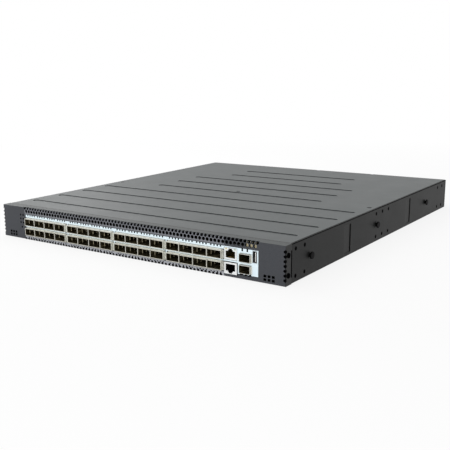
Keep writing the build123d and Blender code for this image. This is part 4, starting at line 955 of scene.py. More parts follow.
@dataclass
class FrontFace(SubAssembly):
    """Fittings of the front panel: lamp slots, painted shade on the edges and depths of vents and on the rims of holes,
    and the label border.
    """

    proud: float = 0.06 * MM
    port_slots: int = 4
    slot_pitch: float = 4.2 * MM
    slot_width: float = 1.75 * MM
    upper_slot_middle: float = 33.0 * MM
    upper_slot_height: float = 1.7 * MM
    lower_slot_middle: float = 3.2 * MM
    lower_slot_height: float = 1.3 * MM
    module_slot_middle: float = 32.5 * MM
    module_slot_height: float = 3.2 * MM
    module_slot_sides: Spot = (167.4 * MM, 173.7 * MM)
    first_vent: float = -175.1 * MM
    vent_edge_share: float = 0.975
    edge_depths: Spot = (0.02 * MM, 1.25 * MM)
    fold_row: float = 42.5 * MM
    fold_row_top: float = 43.42 * MM
    fold_row_columns: int = 72
    fold_row_depths: Spot = (2.48 * MM, 2.58 * MM)
    second_row: float = 38.3 * MM
    second_row_columns: int = 71
    lower_vent_flats: float = 3.3 * MM
    lower_vent_middle: float = 1.1 * MM
    lower_vent_floor: float = 0.05 * MM
    lower_vent_columns: int = 63
    grid_first: Spot = (-205.0 * MM, 8.0 * MM)
    grid_hole: Spot = (3.38 * MM, 2.88 * MM)
    grid_step: Spot = (5.0 * MM, -3.9 * MM)
    grid_span: float = 400.0 * MM
    border_lap: float = 0.1 * MM
    border_gap: float = 1.25 * MM
    lamp_place: Spot = (-184.3 * MM, 22.4 * MM)
    lamp_step: Spot = (5.0 * MM, 5.15 * MM)
    reset_place: Spot = (-182.2 * MM, 16.2 * MM)
    rim_radius: float = 1.3 * MM
    rim_wall: float = 0.6 * MM

    def build(self) -> None:
        """Builds the fittings of the front."""
        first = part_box("port_cage_upper_1")[0][0] + CAGE_WALL + PORT_WIDTH / 2
        first -= (self.port_slots - 1) / 2 * self.slot_pitch
        runs = (across(self.port_slots, self.slot_pitch),) + PORT_RUNS
        self.slots("upper", first, self.upper_slot_middle, self.upper_slot_height, LABEL_SHEET, *runs)
        self.slots("lower", first, self.lower_slot_middle, self.lower_slot_height, 0.0, *runs)
        start, end = self.module_slot_sides
        self.slots("module", start, self.module_slot_middle, self.module_slot_height, LABEL_SHEET,
                   across(2, end - start))
        self.lower_vents()
        self.upper_vents()
        self.grid_edges()
        self.label_border()
        self.rims("status_lamp_rims", self.lamp_place, across(2, self.lamp_step[0]), upwards(3, self.lamp_step[1]))
        self.rims("reset_rim", self.reset_place)

    def slots(self, name: str, x: float, middle: float, height: float, sheet: float, *runs: Run) -> None:
        """Upright lamp slots that stand a hair proud of the sheet under them.

        Args:
            name: Which slots.
            x: Middle of the first one.
            middle: Z of their middle.
            height: Their height.
            sheet: Thickness of the sheet over the panel's face, or 0.
            runs: Runs of copies.
        """
        half, rise, proud = self.slot_width / 2, height / 2, sheet + self.proud
        slot = Shape().box((x - half, FACE - proud, middle - rise), (x + half, FACE + proud, middle + rise))
        self.shade(slot, f"{name}_lamp_slots", *runs)

    def rims(self, name: str, place: Spot, *runs: Run) -> None:
        """Rims of painted shade round small round holes, from X and Z of the first one."""
        rim = Shape().tube(polygon(self.rim_radius, 16, place), self.rim_wall, FACE - self.proud,
                           FACE + 0.3 * MM, Axis.Y)
        self.shade(rim, name, *runs)

    def label_border(self) -> None:
        """The painted border that laps the label's left edge up to the first cage."""
        low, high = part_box("label_overlay")
        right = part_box("port_cage_upper_1")[0][0] - self.border_gap
        border = Shape().box((low[0] - self.border_lap, low[1] - self.proud, low[2] - self.border_lap),
                             (right, FACE + 0.2 * MM, high[2] + self.border_lap))
        self.fit(border, "label_border", Surface.PANEL_PAINT)

    def upper_vents(self) -> None:
        """Painted shade on the cut edges of both rows of upper vents, a hair inside the sheet's own, and in a depth."""
        radius = (VENT_FLATS - 0.04 * MM) / math.sqrt(3)
        start, end = (FACE + depth for depth in self.edge_depths)
        for name, x, z, columns in (
                ("second", self.first_vent + VENT_PITCH / 2, self.second_row, self.second_row_columns),
                ("fold", self.first_vent, self.fold_row, self.fold_row_columns)):
            edges = Shape()
            corners = [(u, min(v, self.fold_row_top)) for u, v in polygon(radius, 6, (x, z), math.pi / 6)]
            for first, second in pairs(corners):
                if max(first[1], second[1]) < self.fold_row_top:
                    inward = [(x + (u - x) * self.vent_edge_share, z + (v - z) * self.vent_edge_share)
                              for u, v in (second, first)]
                    edges.prism([first, second] + inward, start, end, Axis.Y)
            if name == "fold":
                edges.prism(corners, *(FACE + depth for depth in self.fold_row_depths), Axis.Y)
            self.shade(edges, f"{name}_row_vent_edges", across(columns, VENT_PITCH))

    def grid_edges(self) -> None:
        """Painted shade on the cut edges of the small square holes low at both ends."""
        (x, z), (width, height) = self.grid_first, self.grid_hole
        outline = oblong(x - width / 2, x + width / 2, z - height / 2, z + height / 2)
        edge = Shape().tube(outline, 0.05 * MM, *(FACE + depth for depth in self.edge_depths), Axis.Y)
        self.shade(edge, "grid_hole_edges", across(3, self.grid_step[0]), upwards(2, self.grid_step[1]),
                   across(2, self.grid_span))

    def lower_vents(self) -> None:
        """The row of hexagonal vents that is broken over the panel's lower fold, as dark hexagons of painted shade."""
        corners = polygon(self.lower_vent_flats / math.sqrt(3), 6, (self.first_vent, self.lower_vent_middle),
                          math.pi / 6)
        outline = [(u, max(v, self.lower_vent_floor)) for u, v in corners]
        vent = Shape().prism(outline, FACE - self.proud, FACE + 1.0 * MM, Axis.Y)
        self.shade(vent, "lower_fold_vents", across(self.lower_vent_columns, VENT_PITCH))


@dataclass
class PortFittings(SubAssembly):
    """Both rows of ports: linings of painted shade inside, guide tabs, gold contacts and the gasket fingers round each
    cage.
    """

    port_height: float = 8.35 * MM
    cage_foot: float = 0.45 * MM
    lining_gap: float = 0.02 * MM
    lining_sheet: float = 0.07 * MM
    lining_depths: Spot = (0.25 * MM, 38.0 * MM)
    tab_depths: Spot = (7.0 * MM, 14.0 * MM)
    tab_length: float = 0.9 * MM
    tab_reach: float = 0.5 * MM
    tab_inset: float = 0.1 * MM
    tab_margin: float = 0.9 * MM
    contact_count: int = 16
    contact_width: float = 0.35 * MM
    contact_pitch: float = 0.8 * MM
    contact_rise: float = 0.9 * MM
    contact_depths: Spot = (-0.12 * MM, 0.1 * MM)
    finger_width: float = 1.15 * MM
    finger_pitch: float = 1.6 * MM
    finger_reach: float = 0.82 * MM
    finger_depths: Point = (-1.3 * MM, -0.1 * MM, 0.9 * MM)

    def build(self) -> None:
        """Builds the fittings of both rows."""
        for row, foot in (("upper", self.cage_foot), ("lower", 0.0)):
            low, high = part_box(f"port_cage_{row}_1")
            left, floor = low[0] + CAGE_WALL, low[2] + CAGE_WALL + foot
            self.linings(row, left, floor, low[1])
            self.guide_tabs(row, left, floor, low[1])
            self.contacts(row, left, floor)
            self.gasket(row, low[0], high[0], floor)

    def linings(self, row: str, left: float, floor: float, nose: float) -> None:
        """Linings of painted shade on the inner faces of each port, a hair inside the cage's own walls.

        Args:
            row: Name of the row.
            left: X of the first port's left side.
            floor: Z of its floor.
            nose: Y of its mouth.
        """
        gap = self.lining_gap
        outline = oblong(left + gap, left + PORT_WIDTH - gap, floor + gap, floor + self.port_height - gap)
        lining = Shape().tube(outline, self.lining_sheet, *(nose + depth for depth in self.lining_depths), Axis.Y)
        self.fit(lining, f"{row}_port_linings", Surface.CAGE_INSIDE, *PORT_RUNS)

    def guide_tabs(self, row: str, left: float, floor: float, nose: float) -> None:
        """Bowed guide tabs pressed in from both side walls of each port.

        Args:
            row: Name of the row.
            left: X of the first port's left side.
            floor: Z of its floor.
            nose: Y of its mouth.
        """
        tabs = Shape()
        for side, wall in ((1, left + self.tab_inset), (-1, left + PORT_WIDTH - self.tab_inset)):
            for start in (nose + depth for depth in self.tab_depths):
                tip = (wall + side * self.tab_reach, start + self.tab_length * 0.6)
                tabs.prism([(wall, start), tip, (wall, start + self.tab_length)], floor + self.tab_margin,
                           floor + self.port_height - self.tab_margin, Axis.Z)
        self.fit(tabs, f"{row}_port_guide_tabs", Surface.GUIDE_TAB, *PORT_RUNS)

    def contacts(self, row: str, left: float, floor: float) -> None:
        """The gold contacts on the front of each port's connector.

        Args:
            row: Name of the row.
            left: X of the first port's left side.
            floor: Z of its floor.
        """
        near, far = (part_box("port_connectors")[0][1] + depth for depth in self.contact_depths)
        middle = floor + self.port_height / 2
        start = left + PORT_WIDTH / 2 - (self.contact_count - 1) / 2 * self.contact_pitch
        contact = Shape().box((start, near, middle - self.contact_rise),
                              (start + self.contact_width, far, middle + self.contact_rise))
        self.fit(contact, f"{row}_port_contacts", Surface.GOLD,
                 across(self.contact_count, self.contact_pitch), *PORT_RUNS)

    def gasket(self, row: str, left: float, right: float, floor: float) -> None:
        """Grounding fingers that bridge the gap between each cage and the panel's window.

        Args:
            row: Name of the row.
            left: X of the first cage's outer left side.
            right: X of its outer right side.
            floor: Z of its port floor.
        """
        low, high = floor - CAGE_WALL, floor + self.port_height + CAGE_WALL
        near, bend, far = (FACE + depth for depth in self.finger_depths)
        columns = int((right - left) / self.finger_pitch)
        start = (left + right) / 2 - (columns - 1) / 2 * self.finger_pitch - self.finger_width / 2
        level, upright = Shape(), Shape()
        for base, sign in ((high, 1), (low, -1)):
            tip = base + sign * self.finger_reach
            level.prism([(near, base), (bend, tip), (far, tip), (far, base)], start, start + self.finger_width,
                        Axis.X)
        for base, sign in ((left, -1), (right, 1)):
            tip = base + sign * self.finger_reach
            upright.prism([(base, near), (tip, bend), (tip, far), (base, far)], low, low + self.finger_width,
                          Axis.Z)
        self.fit(level, f"{row}_gasket_fingers_level", Surface.GASKET, across(columns, self.finger_pitch), GROUP_RUN)
        rows = int((high - low) / self.finger_pitch) + 1
        self.fit(upright, f"{row}_gasket_fingers_upright", Surface.GASKET, upwards(rows, self.finger_pitch),
                 GROUP_RUN)


@dataclass
class ServiceSockets(SubAssembly):
    """Looks of the service sockets: jacks, small-module ports, the upright serial socket and slots."""

    gap_depths: Spot = (-0.05 * MM, 0.4 * MM)
    jack_centre: float = 152.4 * MM
    jack_half: float = 8.2 * MM
    jack_height: float = 12.9 * MM
    jack_gap: float = 1.1 * MM
    upper_jack_base: float = 19.4 * MM
    lower_jack_top: float = 16.3 * MM
    cavity_half: float = 5.95 * MM
    cavity_height: float = 7.6 * MM
    cavity_depths: Spot = (0.12 * MM, 13.9 * MM)
    cavity_inset: float = 1.9 * MM
    step_halves: Spot = (3.2 * MM, 2.1 * MM)
    step_height: float = 1.35 * MM
    wire_count: int = 8
    wire_pitch: float = 1.02 * MM
    wire_size: float = 0.4 * MM
    wire_rise: float = 3.2 * MM
    wire_ends: Spot = (2.12 * MM, 12.9 * MM)
    window_side: float = 5.6 * MM
    window_top: float = 12.3 * MM
    window_size: Spot = (2.5 * MM, 1.1 * MM)
    window_depths: Spot = (-0.05 * MM, 0.5 * MM)
    module_centre: float = 171.45 * MM
    module_half: float = 6.55 * MM
    module_wall: float = 0.4 * MM
    module_height: float = 8.3 * MM
    module_depth: float = 37.0 * MM
    upper_module_floor: float = 19.9 * MM
    lower_module_floor: float = 7.5 * MM
    module_contacts: int = 10
    module_contact_pitch: float = 0.8 * MM
    module_contact_half: float = 0.2 * MM
    module_contact_heights: Spot = (3.0 * MM, 5.0 * MM)
    module_label_depth: float = 2.7 * MM
    module_fingers: int = 7
    module_finger_pitch: float = 1.2 * MM
    module_finger_width: float = 0.85 * MM
    module_finger_reaches: Spot = (-0.5 * MM, 1.3 * MM)
    socket_centre: float = 182.8 * MM
    socket_middle: float = 26.6 * MM
    socket_half: float = 2.3 * MM
    socket_rise: float = 6.1 * MM
    socket_depth: float = 13.0 * MM
    tongue_sides: Spot = (0.4 * MM, 1.2 * MM)
    bed_sides: Spot = (1.2 * MM, 2.2 * MM)
    tongue_rise: float = 4.95 * MM
    spring_sides: Spot = (170.8 * MM, 173.6 * MM)
    spring_depths: Point = (1.15 * MM, 2.1 * MM, 2.4 * MM)
    spring_heights: Point = (35.0 * MM, 36.4 * MM, 42.2 * MM)
    slot_sides: tuple[Spot, ...] = ((164.3 * MM, 169.0 * MM), (170.3 * MM, 174.2 * MM), (175.4 * MM, 178.6 * MM))
    slot_heights: Spot = (4.8 * MM, 6.9 * MM)

    def build(self) -> None:
        """Builds the looks of every service socket."""
        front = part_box("rj45_jacks")[0][1]
        self.jack("upper", self.upper_jack_base, 1, front, Surface.CAGE_INSIDE)
        self.jack_windows(front)
        self.jack("lower", self.lower_jack_top, -1, front, Surface.DARK_HOLE)
        self.jack_surround()
        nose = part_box("sfp_cages")[0][1]
        self.module_port("upper", self.upper_module_floor, nose)
        self.module_port("lower", self.lower_module_floor, nose)
        self.upright_socket(front)
        self.spring_tabs()
        self.base_slots()

    def cavity(self, near: float, sign: int) -> Outline:
        """The stepped outline of a jack's opening, a hair inside the jack's own.

        Args:
            near: Z of the jack's side next to the board.
            sign: 1 where the latch is above, -1 where it is below.

        Returns:
            The corners in X and Z.
        """
        gap = 0.03 * MM
        roof = self.cavity_inset + self.cavity_height - gap
        heights = (self.cavity_inset + gap, roof, roof, roof + self.step_height, roof + self.step_height,
                   roof + 2 * self.step_height)
        widths = [half - gap for half in (self.cavity_half, *self.step_halves) for _ in range(2)]
        right = [(self.jack_centre + half, near + sign * height) for half, height in zip(widths, heights)]
        left = [(2 * self.jack_centre - x, z) for x, z in reversed(right)]
        return right + left

    def jack(self, name: str, near: float, sign: int, front: float, inside: Surface) -> None:
        """The painted-shade lining inside one jack, and its contact wires.

        Args:
            name: Which of the two jacks.
            near: Z of its side next to the board.
            sign: 1 where the latch is above, -1 where it is below.
            front: Y of its face.
            inside: Finish of the painted shade inside it.
        """
        start, end = (front + depth for depth in self.cavity_depths)
        lining = Shape().tube(self.cavity(near, sign), 0.08 * MM, start, end, Axis.Y)
        lining.prism(self.cavity(near, sign), end - 0.3 * MM, end, Axis.Y)
        self.fit(lining, f"{name}_jack_inside", inside)
        first, last = (front + depth for depth in self.wire_ends)
        base, size = near + sign * (self.cavity_inset + self.wire_size), sign * self.wire_size
        rise = base + sign * self.wire_rise
        x = self.jack_centre - (self.wire_count - 1) / 2 * self.wire_pitch
        wire = Shape().prism([(first, base), (last, rise), (last, rise + size), (first, base + size)],
                             x - self.wire_size / 2, x + self.wire_size / 2, Axis.X)
        self.fit(wire, f"{name}_jack_wires", Surface.GOLD, across(self.wire_count, self.wire_pitch))

    def jack_windows(self, front: float) -> None:
        """Both lamp windows of the upper jack.

        Args:
            front: Y of its face.
        """
        top, (width, height) = self.upper_jack_base + self.window_top, self.window_size
        near, far = (front + depth for depth in self.window_depths)
        for side, surface in ((Side.LEFT, Surface.AMBER_LAMP), (Side.RIGHT, Surface.GREEN_LAMP)):
            x = self.jack_centre + side.value * self.window_side
            window = Shape().box((x - width / 2, near, top - height), (x + width / 2, far, top))
            self.fit(window, f"upper_jack_lamp_{side.name.lower()}", surface)

    def jack_surround(self) -> None:
        """The painted shadow in the gap over and beside the lower jack, where the label leaves the sheet bare."""
        near, far = (LABEL_FACE + depth for depth in self.gap_depths)
        top, gap = self.lower_jack_top, self.jack_gap
        left, right = self.jack_centre - self.jack_half, self.jack_centre + self.jack_half
        surround = Shape().box((left, near, top), (right + gap, far, top + gap))
        surround.box((right, near, top - self.jack_height), (right + gap, far, top))
        self.shade(surround, "lower_jack_gap")

    def module_port(self, name: str, floor: float, nose: float) -> None:
        """The painted-shade lining and contacts of a small-module port, and the grounding fingers beside it.

        Args:
            name: Which of the two ports.
            floor: Z of its floor.
            nose: Y of its mouth.
        """
        gap, back = 0.02 * MM, nose + self.module_depth
        left, right = self.module_centre - self.module_half, self.module_centre + self.module_half
        lining = Shape().tube(oblong(left + gap, right - gap, floor + gap, floor + self.module_height - gap),
                              0.07 * MM, nose + 0.25 * MM, back, Axis.Y)
        self.fit(lining, f"{name}_module_lining", Surface.CAGE_INSIDE)
        start = self.module_centre - (self.module_contacts - 1) / 2 * self.module_contact_pitch
        low, high = (floor + height for height in self.module_contact_heights)
        contact = Shape().box((start - self.module_contact_half, back - 0.3 * MM, low),
                              (start + self.module_contact_half, back + 0.3 * MM, high))
        self.fit(contact, f"{name}_module_contacts", Surface.GOLD,
                 across(self.module_contacts, self.module_contact_pitch))
        label = nose + self.module_label_depth
        finger = Shape()
        for base, reach in zip((left - self.module_wall, right + self.module_wall), self.module_finger_reaches):
            outline = [(base, label - 1.0 * MM), (base + reach, label - 0.1 * MM), (base + reach, label + 0.2 * MM),
                       (base, label + 0.2 * MM)]
            finger.prism(outline, floor, floor + self.module_finger_width, Axis.Z)
        self.fit(finger, f"{name}_module_fingers", Surface.GASKET,
                 upwards(self.module_fingers, self.module_finger_pitch))

    def upright_socket(self, front: float) -> None:
        """The dark inside, white tongue and contact bed of the upright serial socket.

        Args:
            front: Y of its face.
        """
        x, z, end = self.socket_centre, self.socket_middle, front + self.socket_depth
        outline = oblong(x - self.socket_half, x + self.socket_half, z - self.socket_rise, z + self.socket_rise)
        lining = Shape().tube(outline, 0.08 * MM, front + 0.15 * MM, end, Axis.Y)
        self.fit(lining, "serial_socket_inside", Surface.BLACK_PLASTIC)
        for name, (left, right), surface in (("tongue", self.tongue_sides, Surface.WHITE_PLASTIC),
                                             ("contact_bed", self.bed_sides, Surface.DARK_HOLE)):
            bar = Shape().box((x + left, front + 0.2 * MM, z - self.tongue_rise), (x + right, end, z + self.tongue_rise))
            self.fit(bar, f"serial_socket_{name}", surface)

    def spring_tabs(self) -> None:
        """The spring tabs that stand on the panel's back behind the last upper vents."""
        left, right = self.spring_sides
        near, middle, far = (FACE + depth for depth in self.spring_depths)
        low, bend, high = self.spring_heights
        tab = Shape().box((left, near, low), (right, far, bend)).box((left, middle, bend), (right, far, high))
        self.fit(tab, "panel_spring_tabs", Surface.GUIDE_TAB, across(3, VENT_PITCH))

    def base_slots(self) -> None:
        """Dark pieces of painted shade in the slots under the small-module ports."""
        near, far = (LABEL_FACE + depth for depth in self.gap_depths)
        low, high = self.slot_heights
        openings = Shape()
        for left, right in self.slot_sides:
            openings.box((left, near, low), (right, far, high))
        self.shade(openings, "module_base_slots")


@dataclass
class SideWalls(SubAssembly):
    """Painted shade in the depths and on the rims and edges of the side walls' openings, and the louvre ramps."""

    half: float = 219.2 * MM
    wall: float = 1.2 * MM
    proud: float = 0.05 * MM
    body_depth: float = 515.0 * MM
    hole_radius: float = 1.74 * MM
    hole_rim: float = 2.25 * MM
    hole_low: float = 7.0 * MM
    hole_rise: float = 29.5 * MM
    hole_places: tuple[float, ...] = (21.3, 41.3, 236.0, 256.3, 276.6, 476.0, 496.3)
    screw_place: Spot = (5.7 * MM, 10.8 * MM)
    screw_rise: float = 21.5 * MM
    screw_rim: float = 2.1 * MM
    screw_radius: float = 1.4 * MM
    rim_inset: float = 0.1 * MM
    seam_back: float = 13.2 * MM
    seam_slot: float = 1.8 * MM
    seam_margin: float = 7.2 * MM
    gap_inset: float = 0.2 * MM
    gap_heights: Spot = (42.1 * MM, 43.1 * MM)
    gap_ends: Spot = (0.4 * MM, 0.5 * MM)
    vent_low: float = 6.6 * MM
    vent_pitch: float = 5.05 * MM
    vent_count: int = 7
    vent_reach: float = 3.6 * MM
    vent_rise: float = 2.9 * MM
    vent_edge: float = 0.05 * MM
    louvre_places: tuple[float, float] = (156.3, 356.3)
    louvre_heights: Spot = (4.25 * MM, 38.05 * MM)
    louvre_ramp: float = 16.0 * MM
    louvre_slot: float = 2.2 * MM
    louvre_lip: float = 2.15 * MM
    louvre_depth: float = 0.6 * MM
    louvre_sheet: float = 0.5 * MM

    def at(self, side: Side, inset: float) -> float:
        """X of a plane so far inside one wall's outer face."""
        return side.value * (self.half - inset)

    def span(self, side: Side, *insets: float) -> list[float]:
        """X of two planes inside one wall's outer face, the lower first."""
        return sorted(self.at(side, inset) for inset in insets)

    def build(self) -> None:
        """Builds both side walls' fittings."""
        seam, height = FACE + self.seam_back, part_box("top_cover")[1][2]
        for side in Side:
            name = side.name.lower()
            self.holes(side, name)
            self.corner_vents(side, name)
            left, right = self.span(side, self.wall, -self.proud)
            # painted shade in the seam's slot
            slot = Shape().box((left, seam - self.seam_slot, self.seam_margin), (right, seam, height - self.seam_margin))
            self.shade(slot, f"{name}_seam_depth")
            left, right = self.span(side, self.gap_inset, -self.proud)
            (low, high), (start, end) = self.gap_heights, self.gap_ends
            # painted shadow in the gap under the cover's edge
            gap = Shape().box((left, seam + start, low), (right, FACE + self.body_depth - end, high))
            self.shade(gap, f"{name}_cover_gap")
            # painted shade round the panel screws
            centre = (FACE + self.screw_place[0], self.screw_place[1])
            self.shade(self.rim(Shape(), side, centre, self.screw_rim, self.screw_radius), f"{name}_screw_rims",
                       upwards(2, self.screw_rise))
            self.louvres(side, name)

    def rim(self, shape: Shape, side: Side, centre: Spot, outer: float, inner: float) -> Shape:
        """Adds a ring of painted shade in the pressed rim of a round hole.

        Args:
            shape: The shape that it is added to.
            side: The side.
            centre: Y and Z of its middle.
            outer: Its outer radius.
            inner: The hole's radius.

        Returns:
            The shape itself.
        """
        return shape.tube(polygon(outer, 20, centre), outer - inner, *self.span(side, self.rim_inset, -self.proud),
                          Axis.X)

    def louvres(self, side: Side, name: str) -> None:
        """The shallow painted ramp in front of each louvre slot, and painted shade in the slot's depth.

        Args:
            side: The side.
            name: Its name.
        """
        low, high = self.louvre_heights
        depth, back = self.louvre_depth, self.louvre_depth + self.louvre_sheet
        ramps, depths = Shape(), Shape()
        for place in self.louvre_places:
            edge = FACE + place * MM
            start, end, lip = edge - self.louvre_ramp, edge + self.louvre_lip - self.louvre_slot, edge + self.louvre_lip
            corners = ((0.02 * MM, start), (depth, end), (back, end), (0.9 * MM, start))
            ramps.prism([(self.at(side, inset), y) for inset, y in corners], low, high, Axis.Z)
            left, right = self.span(side, depth + 0.1 * MM, back + 0.1 * MM)
            depths.box((left, end, low), (right, lip, high))
        self.fit(ramps, f"{name}_louvre_ramps", Surface.BODY_PAINT)
        self.shade(depths, f"{name}_louvre_depths")

    def holes(self, side: Side, name: str) -> None:
        """The painted shade in the depth and pressed rim of every mounting hole in one wall.

        Args:
            side: The side.
            name: Its name.
        """
        depths = Shape()
        for place in self.hole_places:
            centre = (FACE + place * MM, self.hole_low)
            depths.prism(polygon(self.hole_radius, 20, centre), *self.span(side, self.wall - 0.1 * MM, 0.3 * MM), Axis.X)
            self.rim(depths, side, centre, self.hole_rim, self.hole_radius)
        self.shade(depths, f"{name}_hole_depths", upwards(2, self.hole_rise))

    def corner_vents(self, side: Side, name: str) -> None:
        """The painted shade in the column behind the vents that are broken over one front corner, and on their cut
        edges.

        Args:
            side: The side.
            name: Its name.
        """
        skin, low = self.wall + 0.05 * MM, self.vent_low
        corner = [(self.at(side, skin), FACE + skin), (self.at(side, skin + self.vent_reach), FACE + skin),
                  (self.at(side, skin), FACE + skin + self.vent_reach)]
        column = Shape().prism(corner, low - self.vent_rise,
                               low + self.vent_pitch * (self.vent_count - 1) + self.vent_rise, Axis.Z)
        self.shade(column, f"{name}_corner_depth")
        gap = 0.03 * MM
        flat, tip = VENT_FLATS / 2 - gap, VENT_FLATS / math.sqrt(3) - gap
        profile = [(gap, low - tip), (flat, low - tip / 2), (flat, low + tip / 2), (gap, low + tip)]
        edges = Shape()
        for (start, foot), (end, head) in zip(profile, profile[1:]):
            strip = [(start, foot), (end, head), (end - self.vent_edge, head), (start - self.vent_edge, foot)]
            edges.prism([(self.at(side, inset), z) for inset, z in strip], FACE + gap, FACE + self.wall, Axis.Y)
            edges.prism([(FACE + inset, z) for inset, z in strip], *self.span(side, self.wall, gap), Axis.X)
        self.shade(edges, f"{name}_corner_vent_edges", upwards(self.vent_count, self.vent_pitch))


@dataclass
class RearModules(SubAssembly):
    """Small parts on the rear: finger guards, status lamps, inlet blades and the supplies' latches."""

    tray_count: int = 6
    guard_radii: Point = (5.0 * MM, 10.0 * MM, 14.4 * MM)
    guard_wire: float = 0.55 * MM
    guard_middle: float = 21.5 * MM
    guard_reach: float = 15.8 * MM
    lamp_radius: float = 1.1 * MM
    lamp_depths: Spot = (-0.3 * MM, 0.25 * MM)
    tray_lamp: Spot = (4.5 * MM, 37.0 * MM)
    supply_lamp: Spot = (3.2 * MM, 37.2 * MM)
    pad_reach: float = 10.8 * MM
    blade_places: tuple[Spot, ...] = ((-7.0 * MM, -2.0 * MM), (7.0 * MM, -2.0 * MM), (0.0, 2.0 * MM))
    blade_halves: Spot = (1.04 * MM, 2.04 * MM)
    blade_depths: Spot = (16.0 * MM, 5.3 * MM)

    def build(self) -> None:
        """Builds the rear's small parts on every tray and supply."""
        for number in range(1, self.tray_count + 1):
            self.guard(number)
            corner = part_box(f"fan_tray_{number}")[0][0]
            self.lamp(f"tray_lamp_{number}", (corner + self.tray_lamp[0], self.tray_lamp[1]), f"tray_{number}")
        for side in ("left", "right"):
            self.inlet_blades(side)
            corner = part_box(f"psu_inlet_{side}")[1][0]
            self.lamp(f"supply_lamp_{side}", (corner + self.supply_lamp[0], self.supply_lamp[1]), f"supply_{side}")
            self.short_latch(side)

    def lamp(self, name: str, place: Spot, body: str) -> None:
        """A status lamp on a rear face, from X and Z of its middle."""
        lamp = Shape().prism(polygon(self.lamp_radius, 14, place), *(REAR_FACE + y for y in self.lamp_depths), Axis.Y)
        self.fit(lamp, name, Surface.GREEN_LAMP, body=body)

    def guard(self, number: int) -> None:
        """One tray's wire finger guard.

        Args:
            number: The tray's number, from 1 at the left.
        """
        low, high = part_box(f"fan_rotor_{number}")
        middle, wire = (low[0] + high[0]) / 2, self.guard_wire
        guard = Shape()
        for radius in self.guard_radii:
            guard.ring((middle, REAR_FACE + wire * 0.6, self.guard_middle), radius, wire)
        for turn in (math.pi / 4, 3 * math.pi / 4):
            spin = Matrix.Rotation(turn, 2)
            corners = [spin @ Vector(corner) for corner in oblong(-self.guard_reach, self.guard_reach, -wire, wire)]
            outline = [(middle + corner.x, self.guard_middle + corner.y) for corner in corners]
            guard.prism(outline, REAR_FACE, REAR_FACE + wire, Axis.Y)
        self.fit(guard, f"fan_guard_{number}", Surface.FINS, body=f"tray_{number}")

    def inlet_blades(self, side: str) -> None:
        """The bright sleeves on the three blades inside one supply's inlet.

        Args:
            side: Which supply.
        """
        low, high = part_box(f"psu_inlet_{side}")
        middle, height = (low[0] + high[0]) / 2, (low[2] + high[2]) / 2
        (half, rise), (start, end) = self.blade_halves, (high[1] - depth for depth in self.blade_depths)
        blades = Shape()
        for x, z in self.blade_places:
            blades.box((middle + x - half, start, height + z - rise), (middle + x + half, end, height + z + rise))
        self.fit(blades, f"inlet_blades_{side}", Surface.BRASS, body=f"supply_{side}")

    def short_latch(self, side: str) -> None:
        """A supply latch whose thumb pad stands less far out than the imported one's.

        Args:
            side: Which supply.
        """
        node = f"psu_latch_{side}"
        shape = Shape()
        shape.mesh.from_mesh(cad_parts[node].data)
        bmesh.ops.remove_doubles(shape.mesh, verts=shape.mesh.verts, dist=1e-6)
        share = self.pad_reach / (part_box(node)[1][1] - REAR_FACE)
        for corner in shape.mesh.verts:
            if corner.co.y > REAR_FACE:
                corner.co.y = REAR_FACE + (corner.co.y - REAR_FACE) * share
        piece = self.fit(shape, f"short_latch_{side}", Surface.LATCH_PLASTIC, body=f"supply_latch_{side}")
        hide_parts(node)


@dataclass(frozen=True)
class SoftLamp:
    """One square soft lamp: where it hangs, what it points at, its power in watts and its side."""

    name: str
    place: Point
    target: Point
    power: float
    size: float = 1.0

    def build(self) -> None:
        """Hangs the lamp."""
        data = bpy.data.lights.new(self.name, "AREA")
        data.size = self.size
        data.energy = self.power
        lamp = bpy.data.objects.new(self.name, data)
        lamp.location = self.place
        lamp.rotation_euler = (Vector(self.target) - Vector(self.place)).to_track_quat("-Z", "Y").to_euler()
        bpy.context.scene.collection.objects.link(lamp)


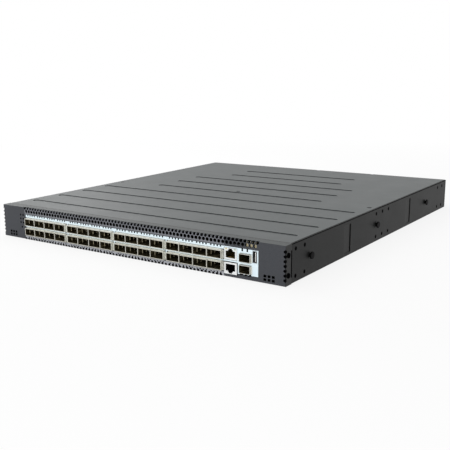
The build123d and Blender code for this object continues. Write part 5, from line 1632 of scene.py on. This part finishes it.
@dataclass
class Studio:
    """Pale floor, white surroundings and soft lamps."""

    white: Colour = (1.0, 1.0, 1.0, 1.0)
    floor_colour: Colour = (0.95, 0.95, 0.95, 1.0)
    floor_half: float = 3.0
    floor_sheet: Spot = (-0.01, -0.0005)
    floor_white: float = 0.85
    shadow_reach: float = 0.5
    world_levels: Spot = (0.74, 0.25)
    lamps: tuple[SoftLamp, ...] = (
        SoftLamp("top_softbox", (-0.85, 0.2, 0.75), (-0.2, 0.0, 0.0), 5.6),
        SoftLamp("front_softbox", (0.15, -1.7, 0.45), (0.0, -0.2, 0.0), 9.0))

    def build(self) -> None:
        """Builds the floor, the surroundings and the lamps."""
        sheet = NodeSheet(bpy.data.materials.new("studio_floor"))
        plain = sheet.add("ShaderNodeBsdfDiffuse", {"Color": self.floor_colour})
        white = sheet.add("ShaderNodeEmission", {"Color": self.white, "Strength": 1.0})
        reach = sheet.add("ShaderNodeVectorMath", {0: sheet.place()}, {"operation": "LENGTH"}).outputs["Value"]
        share = sheet.spread(reach, self.floor_white, 1.0, self.shadow_reach, self.shadow_reach * 2.5)
        both = sheet.add("ShaderNodeMixShader", {0: sheet.math("MULTIPLY", self.seen(sheet), share),
                                                 1: plain.outputs[0], 2: white.outputs[0]})
        sheet.add("ShaderNodeOutputMaterial", {"Surface": both.outputs[0]})
        half, (low, high) = self.floor_half, self.floor_sheet
        Shape().box((-half, -half, low), (half, half, high)).object("studio_floor", sheet.owner)
        self.surroundings()
        for lamp in self.lamps:
            lamp.build()

    @staticmethod
    def seen(sheet: NodeSheet) -> Socket:
        """1 for what the camera sees straight, mirrored or through glass, else 0.

        Args:
            sheet: The sheet to build on.

        Returns:
            The mask.
        """
        rays = sheet.add("ShaderNodeLightPath").outputs
        either = sheet.math("MAXIMUM", rays["Is Camera Ray"], rays["Is Glossy Ray"])
        return sheet.math("MAXIMUM", either, rays["Is Transmission Ray"])

    def surroundings(self) -> None:
        """White surroundings, whose light on the object falls off towards the right."""
        world = bpy.data.worlds.new("studio")
        bpy.context.scene.world = world
        sheet = NodeSheet(world)
        spot = sheet.add("ShaderNodeTexCoord").outputs["Generated"]
        x = sheet.add("ShaderNodeSeparateXYZ", {"Vector": spot}).outputs["X"]
        level = sheet.spread(x, *self.world_levels, 0.1, 0.9)
        soft = sheet.add("ShaderNodeBackground", {"Color": self.white, "Strength": level})
        bright = sheet.add("ShaderNodeBackground", {"Color": self.white, "Strength": 1.0})
        mixed = sheet.add("ShaderNodeMixShader", {0: self.seen(sheet), 1: soft.outputs[0], 2: bright.outputs[0]})
        sheet.add("ShaderNodeOutputWorld", {"Surface": mixed.outputs[0]})


@dataclass(frozen=True)
class PhotoCamera:
    """The camera at the photograph's angle, fitted to the corners of the box."""

    place: Point = (0.5609, -0.8932, 0.2199)
    azimuth: float = 37.25
    elevation: float = 12.22
    roll: float = -1.04
    focal_pixels: float = 718.0
    centre_pixel: float = 180.0
    sensor: float = 36.0

    def build(self) -> None:
        """Creates the camera and makes it the scene's own."""
        azimuth, elevation = math.radians(self.azimuth), math.radians(self.elevation)
        back = Vector((math.sin(azimuth) * math.cos(elevation), -math.cos(azimuth) * math.cos(elevation),
                       math.sin(elevation)))
        right = (-back).cross(Vector((0, 0, 1))).normalized()
        up = right.cross(-back)
        cosine, sine = math.cos(math.radians(self.roll)), math.sin(math.radians(self.roll))
        right, up = cosine * right + sine * up, cosine * up - sine * right
        data = bpy.data.cameras.new("photo_camera")
        data.sensor_width = self.sensor
        data.lens = self.focal_pixels / IMAGE_SIZE * self.sensor
        data.shift_x = (IMAGE_SIZE / 2 - self.centre_pixel) / IMAGE_SIZE
        data.clip_start = 0.01
        camera = bpy.data.objects.new("photo_camera", data)
        turn = Matrix((right, up, back)).transposed().to_4x4()
        camera.matrix_world = Matrix.Translation(self.place) @ turn
        bpy.context.scene.collection.objects.link(camera)
        bpy.context.scene.camera = camera
        bpy.context.scene.view_settings.view_transform = "Standard"


def main() -> None:
    """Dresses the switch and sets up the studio."""
    logging.basicConfig(level=logging.INFO, format="%(name)s: %(message)s")
    palette = {surface: surface.value.material(surface.name.lower()) for surface in Surface}
    workshop = Workshop(palette, PatternTree())
    for group in (Bodywork, FrontFace, PortFittings, ServiceSockets, SideWalls, RearModules):
        group(workshop).build()
    Studio().build()
    PhotoCamera().build()


if __name__ == "__main__":
    main()
